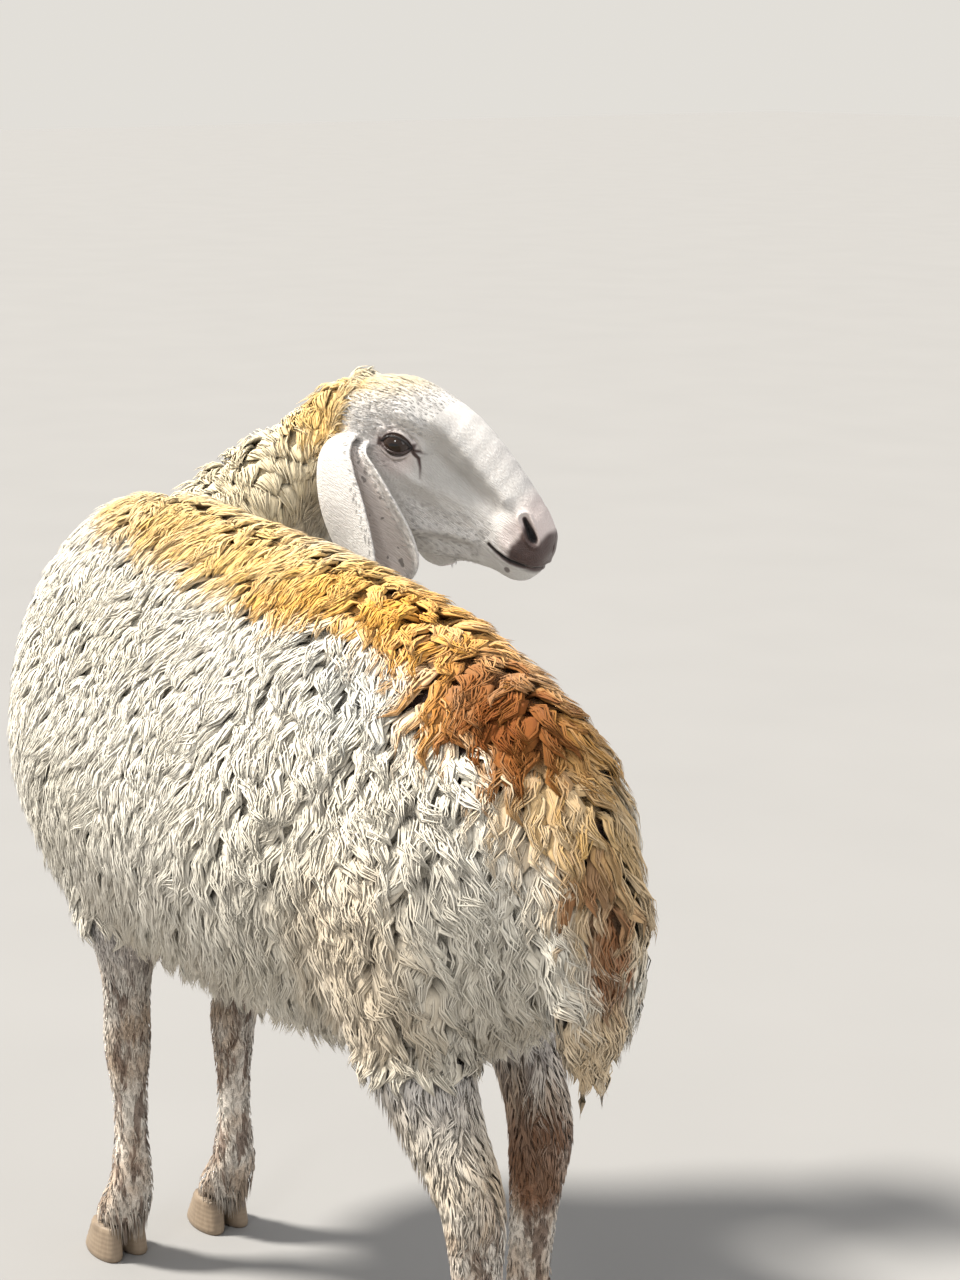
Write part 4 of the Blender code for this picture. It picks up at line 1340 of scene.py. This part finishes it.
class Ground:
    """The skin that the coat grows from: its nearest places, normals and unwrapped places."""

    def __init__(self, obj):
        mesh = obj.data
        self.points, self.triangles = arrays(mesh)
        self.tree = BVHTree.FromPolygons(self.points.tolist(), self.triangles.tolist())
        self.normals = normals_of(mesh)
        self.flat = read(mesh.uv_layers["OFBake"].uv, "vector", 2).reshape(-1, 3, 2)
        _, run, rise = self.sides(slice(None))
        self.area = np.linalg.norm(np.cross(run, rise), axis=1) / 2
        self.marks = {}
        for name in ("bare", "haired", "on_ear", "edge"):
            values = read(mesh.attributes[name].data, "value", 1)[:, 0]
            self.marks[name] = values[self.triangles].mean(1)

    def sides(self, rows):
        """The first corner of those triangles, and the two sides that leave it."""
        corners = self.points[self.triangles[rows]]
        return corners[:, 0], corners[:, 1] - corners[:, 0], corners[:, 2] - corners[:, 0]

    def nearest(self, places):
        """For each place: the nearest on the skin, the skin's normal there, and its place on the flat map."""
        found = [self.tree.find_nearest(p) for p in places.tolist()]
        feet = np.array([f[0] for f in found])
        rows = np.array([f[2] for f in found])
        corner, run, rise = self.sides(rows)
        reach = feet - corner
        rr, ss, rs = (run * run).sum(1), (rise * rise).sum(1), (run * rise).sum(1)
        ru, su = (reach * run).sum(1), (reach * rise).sum(1)
        whole = np.maximum(rr * ss - rs * rs, 1e-18)
        b = (ss * ru - rs * su) / whole
        c = (rr * su - rs * ru) / whole
        shares = np.clip(np.stack((1 - b - c, b, c), 1), 0, 1)
        normals = unit((self.normals[self.triangles[rows]] * shares[:, :, None]).sum(1))
        flat = (self.flat[rows] * shares[:, :, None]).sum(1)
        return feet, normals, flat

    def roots(self, room, seed, most=400000):
        """Places spread over the skin, each at least room(places, marks) from the others.

        None grow where the room is 0. Three times as many as would fit are tried, up to most.
        """
        rng = np.random.default_rng(seed)
        centres = self.points[self.triangles].mean(1)
        rooms = room(centres, self.marks)
        weight = np.where(rooms > 0, self.area / np.maximum(rooms, 1e-4) ** 2, 0)
        count = min(most, int(weight.sum() * 3.0))
        rows = rng.choice(len(weight), count, p=weight / weight.sum())
        a, b = rng.random((2, count))
        over = a + b > 1
        a[over], b[over] = 1 - a[over], 1 - b[over]
        corner, run, rise = self.sides(rows)
        places = corner + run * a[:, None] + rise * b[:, None]
        needed = rooms[rows]
        cell = float(needed.max())
        kept, grid = [], {}
        for row, (place, gap) in enumerate(zip(places.tolist(), needed.tolist())):
            x, y, z = (int(v // cell) for v in place)
            near = [other for i, j, k in CELLS_AROUND for other in grid.get((x + i, y + j, z + k), ())]
            if all(math.dist(place, other) >= gap for other in near):
                kept.append(row)
                grid.setdefault((x, y, z), []).append(place)
        return places[kept]


def drift(places, size, seed):
    """A smooth wandering value, about -1 to 1, that changes over lengths of about that size."""
    rng = np.random.default_rng(seed)
    waves = 5
    total = np.zeros(len(places))
    for _ in range(waves):
        direction = unit(rng.normal(size=3)) / size * rng.uniform(0.7, 1.5)
        total += np.sin(places @ direction * 2 * math.pi + rng.uniform(0, 2 * math.pi))
    return total / 3.0


def lie(places, normals):
    """Which way the coat lies, along the skin: off the spine and down, backwards over the rump."""
    x, y, z = (places - SHIFT).T
    level = np.clip(normals[:, 2], 0, 1)
    side = np.tanh((y + 0.012 * drift(places, 0.05, 8)) / 0.022)
    rump = ease(0.00, -0.40, x)
    flow = np.stack((mix(0.05, -0.55, rump) - 0.55 * level**2, side * level * 1.1, -np.ones_like(x)), 1)
    neck_side = np.tanh((places - NECK_CUT) @ NECK_ACROSS / 0.015)
    neck_flow = -NECK_AHEAD * 0.5 + np.outer(neck_side * level, NECK_ACROSS) * 0.9 + (0, 0, -1.1)
    flow = mix(flow, neck_flow, share_of_neck(places)[:, None])
    face_flow = -AHEAD + np.array((0, 0, -0.25))
    flow = mix(flow, face_flow, share_of_head(places)[:, None])
    hanging = np.array((-0.1, 0.0, -1.0))
    flow = mix(flow, hanging, ease(0.38, 0.32, z)[:, None])
    under = (ease(0.30, 0.75, -normals[:, 2]) * (1 - share_of_face(places)))[:, None]
    along = flow - normals * (flow * normals).sum(1, keepdims=True)
    return unit(mix(unit(along), hanging, under))


def turned(directions, axes, angles):
    """Directions turned about unit axes by the angles."""
    c, s = np.cos(angles)[:, None], np.sin(angles)[:, None]
    dot = (directions * axes).sum(1, keepdims=True)
    return directions * c + np.cross(axes, directions) * s + axes * dot * (1 - c)


def guide_lines(ground, roots, length, depth, lift, stray, steps):
    """The middle line of each lock from its root, with the skin's normal under each place of it."""
    root_depth = 0.001
    free = np.array((-0.05, 0.0, -1.0))  # how locks fall where nothing is under them
    feet, normals, _ = ground.nearest(roots)
    place = feet - normals * root_depth
    flow = turned(lie(feet, normals), normals, stray)
    heading = unit(flow + normals * lift[:, None])
    places, outs = [place], [normals]
    step = (length / steps)[:, None]
    for k in range(steps):
        share = (k + 1) / steps
        place = place + heading * step
        feet, normals, _ = ground.nearest(place)
        height = ((place - feet) * normals).sum(1)
        rise = (1 - (1 - min(share / 0.35, 1.0)) ** 2) * (0.58 + 0.42 * share)
        target = depth * rise
        hangs = ease(0.10, 0.55, -normals[:, 2]) * (1 - share_of_face(feet))
        pull = np.where(height > target, 0.75 * (1 - hangs), 1.0)
        place = place + normals * ((target - height) * pull)[:, None]
        flow = turned(lie(feet, normals), normals, stray)
        flow = mix(flow, free, (hangs * (height > target * 0.6))[:, None])
        heading = unit(mix(heading, flow, 0.75))
        places.append(place)
        outs.append(unit(mix(outs[-1], normals, 0.7)))
    return np.stack(places, 1), np.stack(outs, 1)


def at_share(rows, shares):
    """Rows (lock, step, 3) read at a share, 0 to 1, of each lock's length."""
    last = rows.shape[1] - 1
    t = np.clip(shares * last, 0, last - 1e-6)
    i = t.astype(int)
    f = (t - i)[:, None]
    lock = np.arange(len(rows))
    return rows[lock, i] * (1 - f) + rows[lock, i + 1] * f


class Locks:
    """Locks of hair or wool: the line that each follows over the skin, and what its strands share.

    Sizes are one number for all the locks or one for each.
    """

    def __init__(
        self, ground, roots, seed, length, depth, lift, stray, wave, wavelength, curl=0.0, steps=8,
    ):
        self.ground = ground
        self.rng = np.random.default_rng(seed)
        count = len(roots)

        def each(value):
            """One number for each lock."""
            return np.broadcast_to(np.asarray(value, float), (count,))

        self.length = each(length) * self.rng.uniform(0.8, 1.2, count)
        self.wave, self.wavelength, self.curl = each(wave), each(wavelength), each(curl)
        depth = each(depth) * self.rng.uniform(0.92, 1.06, count)
        stray = each(stray) + self.rng.normal(0, 0.24, count)
        self.lines, self.outs = guide_lines(ground, roots, self.length, depth, each(lift), stray, steps)
        self.whim = self.rng.random(count)
        self.phase = 2.6 * drift(roots, 0.07, seed + 1) + self.rng.normal(0, 0.8, count)
        self.curl = self.curl * (drift(roots, 0.05, seed + 2) + self.rng.normal(0, 0.6, count))

    def strands(
        self, chosen, copies, width, sides, segments,
        spread=0.0, gather=0.7, tip=0.12, thickness=0.6, sunk=0.0,
    ):
        """Strands along the chosen locks, each a closed tapering tube.

        Spread puts them apart round the lock's line and gather draws them to it at the tip. Tip is the
        share of the width that is left there. Sunk sets the strands below the line.
        """
        count = len(chosen)
        rng = self.rng
        spread, gather = np.broadcast_to(spread, (count,)), np.broadcast_to(gather, (count,))
        pieces = []
        for _ in range(copies):
            turn = rng.uniform(0, 2 * math.pi, count)
            reach = np.sqrt(rng.random(count)) * spread
            aside, onward = np.cos(turn) * reach, np.sin(turn) * reach
            ends_at = rng.uniform(0.80, 1.0, count)
            phase = self.phase[chosen] + rng.normal(0, 0.35, count) * (spread > 0)
            over = rng.uniform(-0.10, 0.30, count) * spread
            centres, normals = [], []
            for k in range(segments + 1):
                share = k / segments * ends_at
                centre, out, ahead, side = self.frame_at(chosen, share)
                closing = 1 - gather * ease(0.0, 1.0, share)
                swing = self.wave[chosen] * ease(0.05, 0.35, share) * (0.8 + 0.4 * share)
                angle = phase + share * self.length[chosen] / self.wavelength[chosen] * 2 * math.pi
                shift = side * (aside * closing + swing * np.sin(angle))[:, None]
                shift += ahead * (onward * (1 - share))[:, None]
                shift += side * (self.curl[chosen] * ease(0.2, 1.1, share))[:, None]
                shift += out * (over * ease(0.1, 0.5, share) + swing * 0.35 * np.cos(angle) - sunk)[:, None]
                centres.append(centre + shift)
                normals.append(out)
            own_width = width * rng.uniform(0.75, 1.25, count)
            pieces.append((np.stack(centres, 1), np.stack(normals, 1), own_width, rng.random(count)))
        centres, normals, widths, singles = (np.concatenate(part) for part in zip(*pieces))
        whims = np.tile(self.whim[chosen], copies)
        return tubes(self.ground, centres, normals, widths, whims, singles, sides, tip, thickness)

    def frame_at(self, chosen, share):
        """The chosen locks' places at a share of their length, and out from, along and across them there."""
        lines, reach = self.lines[chosen], 0.06
        centre, out = at_share(lines, share), at_share(self.outs[chosen], share)
        before, after = np.maximum(share - reach, 0), np.minimum(share + reach, 1)
        ahead = unit(at_share(lines, after) - at_share(lines, before))
        return centre, out, ahead, unit(np.cross(out, ahead))


PATCH = 0.003  # how much of the flat map one strand takes
BROAD = 0.004  # half width of a strand that shows its fibres at their own scale


def tube_faces(rings, sides):
    """Triangles of one closed tube: its root, its walls and its tip, numbered ring by ring."""
    faces = [(0, c + 1, c) for c in range(1, sides - 1)]
    for k in range(rings - 1):
        for c in range(sides):
            a, b = sides * k + c, sides * k + (c + 1) % sides
            faces += [(a, b, b + sides), (a, b + sides, a + sides)]
    last = sides * (rings - 1)
    faces += [(last + c, last + (c + 1) % sides, sides * rings) for c in range(sides)]
    return np.array(faces)


def tubes(ground, centres, normals, widths, whims, singles, sides, tip, thickness):
    """Closed tapering tubes along the centre lines, with their marks and their patches of the flat map."""
    count, rings = centres.shape[0], centres.shape[1] - 1
    ahead = unit(np.gradient(centres, axis=1))
    side = unit(np.cross(normals, ahead))
    out = np.cross(ahead, side)
    share = np.arange(rings) / rings
    swell = (0.65 + 0.35 * ease(0.0, 0.3, share)) * (1 - (1 - tip) * ease(0.30, 1.05, share))
    reach = widths[:, None] * swell[None]
    corners = []
    for corner in range(sides):
        angle = math.pi * (2 * (corner + 0.5) / sides - 0.5)
        offset = side[:, :rings] * math.cos(angle) + out[:, :rings] * math.sin(angle) * thickness
        corners.append(centres[:, :rings] + offset * reach[:, :, None])
    points = np.stack(corners, 2).reshape(count, rings * sides, 3)
    points = np.concatenate((points, centres[:, rings:]), 1)
    size = sides * rings + 1
    first = (np.arange(count) * size)[:, None, None]
    faces = (tube_faces(rings, sides)[None] + first).reshape(-1, 3)
    feet, _, flat = ground.nearest(centres[:, 0])
    along = np.append(np.repeat(share, sides), 1.0)
    around = np.append(np.tile(np.arange(sides) / sides, rings), 0.0)
    patch = np.stack(((along - 0.5) * PATCH, (around - 0.5) * PATCH), 1)
    turn = around * 2 * math.pi
    fibre = np.stack((np.cos(turn), np.sin(turn), along), 1)
    outward = np.concatenate((normals[:, :rings].repeat(sides, 1), normals[:, rings:]), 1)
    marks = {
        "place": np.repeat(feet, size, 0),
        "strand": np.stack((np.tile(along, count), np.repeat(whims, size), np.repeat(singles, size)), 1),
        "fibre": np.tile(fibre, (count, 1)) * np.repeat(np.minimum(widths / BROAD, 1.5), size)[:, None],
        "flat": (flat[:, None] + patch[None]).reshape(-1, 2),
        "outward": outward.reshape(-1, 3),
    }
    return points.reshape(-1, 3), faces, marks


def coat_piece(name, tufts, finish):
    """One coat piece from the tubes of several growths."""
    points, faces = joined([tuft[:2] for tuft in tufts])
    marks = {mark: np.concatenate([tuft[2][mark] for tuft in tufts]) for mark in tufts[0][2]}
    mesh = new_mesh(name, points, faces)
    mesh.shade_smooth()
    for mark in ("place", "strand", "fibre", "outward"):
        with_mark(mesh, mark, marks[mark])
    flat = marks["flat"][faces.ravel()].astype(np.float32)
    mesh.uv_layers.new(name="OFBake").uv.foreach_set("vector", flat.ravel())
    mesh.materials.append(finish)
    made = new_object(name, mesh)
    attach(made, "root")


# room between the roots of the locks
SHOULDER_ROOM = 0.0096
RUMP_ROOM = 0.0102
NECK_ROOM = 0.0104
POLL_ROOM = 0.0068


def fleece_room(places, marks):
    """Room between locks of wool on body, neck and tail."""
    _, y, z = (places - SHIFT).T
    room = mix(SHOULDER_ROOM, RUMP_ROOM, hindness(places))
    room = mix(room, NECK_ROOM, share_of_neck(places))
    room = mix(room, POLL_ROOM, share_of_head(places))
    hidden = ease(0.40, 0.38, z) * (np.abs(y) < 0.11)
    parting = bell(y, 0.025) * ease(0.62, 0.68, z) * (1 - share_of_neck(places))
    room = room * (1 + 0.40 * hidden - 0.22 * parting)
    return np.where(marks["haired"] < 0.55, room, 0.0)


# the wool's measures over the shoulders, over rump and thighs, then on neck and poll where they differ
LIFT = (0.60, 0.75, 0.42)  # how steeply the locks leave the skin
WAVE = (0.0014, 0.0054, 0.0008)  # how far a lock swings from side to side
WAVELENGTH = (0.036, 0.044)
CURL = (0.0065, 0.0060, 0.0015)  # how far a lock's tip turns aside
FINE_WIDTH = (0.0010, 0.0014, None, 0.0006)  # half the width of a fine strand
BULK_WIDTH = (0.0084, 0.0097, 0.0098)  # half the width of the broad one under them
GATHER = (0.55, 0.70, 0.45, 0.5)  # how far the fine strands draw together at the tip
SPREAD = (0.0100, 0.0098, 0.0125, 0.0045)  # how far from the lock's line they start
FINE_STRANDS = 9  # to a lock
BULK_SUNK = 0.0024


def lock_lengths(roots, normals, hind, neck, poll, under, nape):
    """How long the locks are: short over shoulders and poll, long over rump, thighs and lower neck."""
    z = (roots - SHIFT)[:, 2]
    length = mix(0.033, 0.056, hind)
    length = mix(length, 0.042, ease(0.60, 0.95, normals[:, 2]))
    length = mix(length, mix(0.036, 0.056, ease(0.3, -0.1, normals[:, 2])), neck)
    length = mix(length, 0.020, poll)
    length = mix(length, 0.034, under)
    length = mix(length, 0.032, ease(0.47, 0.40, z) * (1 - under))
    return mix(length, 0.024, nape)


def fleece(ground, finish):
    """Locks of wool: short and soft over the shoulders, long and waved over rump and thighs."""
    roots = ground.roots(fleece_room, seed=11)
    x, y, z = (roots - SHIFT).T
    hind, neck, poll = hindness(roots), share_of_neck(roots), share_of_head(roots)
    normals = ground.nearest(roots)[1]
    under = ease(0.30, 0.80, -normals[:, 2])
    along, _, crown = in_head(roots).T
    nape = bell(along + 0.015, 0.030) * ease(-0.02, 0.02, crown) * (1 - poll)
    folds = neck * (1 - poll) * drift(roots * (1.0, 1.0, 0.3), 0.050, 9)
    unevenness = mix(0.10, 0.20, hind) * drift(roots, 0.10, 3)
    depth = coat_depth(roots) * (1 + unevenness + 0.25 * folds - 0.32 * poll - 0.40 * nape)
    stray = (0.45 - 0.25 * neck) * drift(roots, 0.08, 5)
    stray = stray + 0.2 * neck * drift(roots, 0.045, 6) + 0.5 * poll * drift(roots, 0.02, 7)

    def by_place(shoulder, rump, on_neck=None, on_poll=None):
        """A measure for each lock, mixed from those of the places that it lies between."""
        value = mix(shoulder, rump, hind)
        value = value if on_neck is None else mix(value, on_neck, neck)
        return value if on_poll is None else mix(value, on_poll, poll)

    locks = Locks(
        ground,
        roots,
        seed=100,
        length=lock_lengths(roots, normals, hind, neck, poll, under, nape),
        depth=depth,
        lift=by_place(*LIFT),
        stray=stray,
        wave=by_place(*WAVE),
        wavelength=by_place(*WAVELENGTH),
        curl=by_place(*CURL),
    )
    fine, bulk = by_place(*FINE_WIDTH), by_place(*BULK_WIDTH)
    gather, spread = by_place(*GATHER), by_place(*SPREAD)
    left = y >= 0
    # each region takes the locks that those before it leave
    regions = {
        "fleece_neck_left": (neck > 0.5) & (roots @ NECK_ACROSS > NECK_CUT @ NECK_ACROSS),
        "fleece_neck_right": neck > 0.5,
        "fleece_tail": (x < -0.36) & (z < 0.56) & (np.abs(y) < 0.07),
        "fleece_belly_left": (under > 0.4) & left,
        "fleece_belly_right": under > 0.4,
        "fleece_shoulder_left": (x > 0.08) & left,
        "fleece_shoulder_right": x > 0.08,
        "fleece_side_left": (x > -0.12) & left,
        "fleece_side_right": x > -0.12,
        "fleece_thigh_left": left,
        "fleece_thigh_right": ~left,
    }
    free = np.ones(len(roots), bool)
    for name, inside in regions.items():
        chosen = np.flatnonzero(inside & free)
        free[chosen] = False
        fine_ones = locks.strands(
            chosen,
            copies=FINE_STRANDS,
            width=fine[chosen],
            sides=3,
            segments=4,
            spread=spread[chosen],
            gather=gather[chosen],
        )
        full = chosen[poll[chosen] < 0.5]
        broad_ones = locks.strands(
            full, copies=1, width=bulk[full], sides=5, segments=4, tip=0.10, thickness=0.35, sunk=BULK_SUNK
        )
        coat_piece(name, [fine_ones, broad_ones], finish)


HOOF_TOP = 0.036  # where the hair ends above the claws
LEG_TOP = 0.40  # above it, short hair grows on the head alone


def hair_room(places, marks):
    """Room between the short tufts of face, ears and legs."""
    z = (places - SHIFT)[:, 2]
    along, _, crown = in_head(places).T
    fuzzy = ease(0.105, 0.050, along) * ease(-0.03, 0.01, crown)
    under = crown < -0.012 - 0.42 * np.maximum(0.20 - along, 0.0)
    jaw = np.where(under & (along < 0.21), 0.0050, 0.0)
    face = np.where(fuzzy > 0.02, mix(0.0046, 0.0034, fuzzy), jaw)
    room = np.where(z < LEG_TOP, mix(0.0056, 0.0042, ease(0.18, 0.24, z)), face)
    room = np.where(marks["on_ear"] > 0.5, np.where(marks["edge"] > 0.5, 0.0042, 0.0), room)
    grown_over = (marks["haired"] > 0.4) & (marks["bare"] < 0.05) & (z > HOOF_TOP)
    return np.where(grown_over, room, 0.0)


def short_hair(ground, finish):
    """Short tufts that lie close over face, ears and legs, fluffier on forehead, hocks and fetlocks."""
    roots = ground.roots(hair_room, seed=23)
    z = roots[:, 2]
    along, _, crown = in_head(roots).T
    legs = z < LEG_TOP
    fore = roots[:, 0] > SHIFT[0]
    fuzzy = ease(0.105, 0.035, along) * ease(-0.03, 0.01, crown) * ~legs
    shaggy = ease(0.20, 0.31, z) * legs * np.where(roots[:, 0] < SHIFT[0], 1.0, 0.15)
    fetlock = ease(0.100, 0.060, z) * legs
    locks = Locks(
        ground,
        roots,
        seed=300,
        length=0.0070 + 0.0110 * fuzzy + 0.004 * legs + 0.020 * shaggy + 0.012 * fetlock,
        depth=0.0003 + 0.0022 * fuzzy + 0.0012 * legs + 0.0040 * shaggy + 0.0036 * fetlock,
        lift=0.05 + 0.14 * fuzzy + 0.17 * legs + 0.2 * shaggy,
        stray=0.35 * drift(roots, 0.03, 31) * np.maximum(fuzzy, shaggy),
        wave=0.0010 * shaggy,
        wavelength=0.03,
        steps=5,
    )
    width = 0.00034 + 0.0002 * fuzzy + 0.0005 * legs + 0.0005 * shaggy
    spread = 0.0020 + 0.0016 * np.maximum(fuzzy, legs)
    regions = {"hair_head": ~legs, "hair_legs_front": legs & fore, "hair_legs_hind": legs & ~fore}
    for name, inside in regions.items():
        chosen = np.flatnonzero(inside)
        tuft = locks.strands(
            chosen, copies=3, width=width[chosen], sides=3, segments=3, spread=spread[chosen], gather=0.3
        )
        coat_piece(name, [tuft], finish)


# ---------------------------------------------------------------- the sheep
soft_patch = soft_patch_group()
markings = fleece_markings_group(soft_patch)
short_hair_colour = short_hair_group(soft_patch)

bare_sheep = skin()
bare_sheep.data.materials.append(skin_material(markings, short_hair_colour, face_hair_group()))
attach(bare_sheep, "root")
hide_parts(*FLESH, *LEGS, "ear_left", "ear_right")

ground = Ground(bare_sheep)
soft_normal = soft_normal_group()
fleece(ground, fleece_material(markings, soft_normal))
short_hair(ground, hair_material(short_hair_colour, soft_normal))

wet_eye = eye_material()
for side, hand in (("left", LEFT), ("right", RIGHT)):
    eyeball(side, hand).data.materials.append(wet_eye)
horn = horn_material()
for node in sorted(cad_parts):
    if node.startswith("claw"):
        claw(node).data.materials.append(horn)

floor()
studio()
camera()
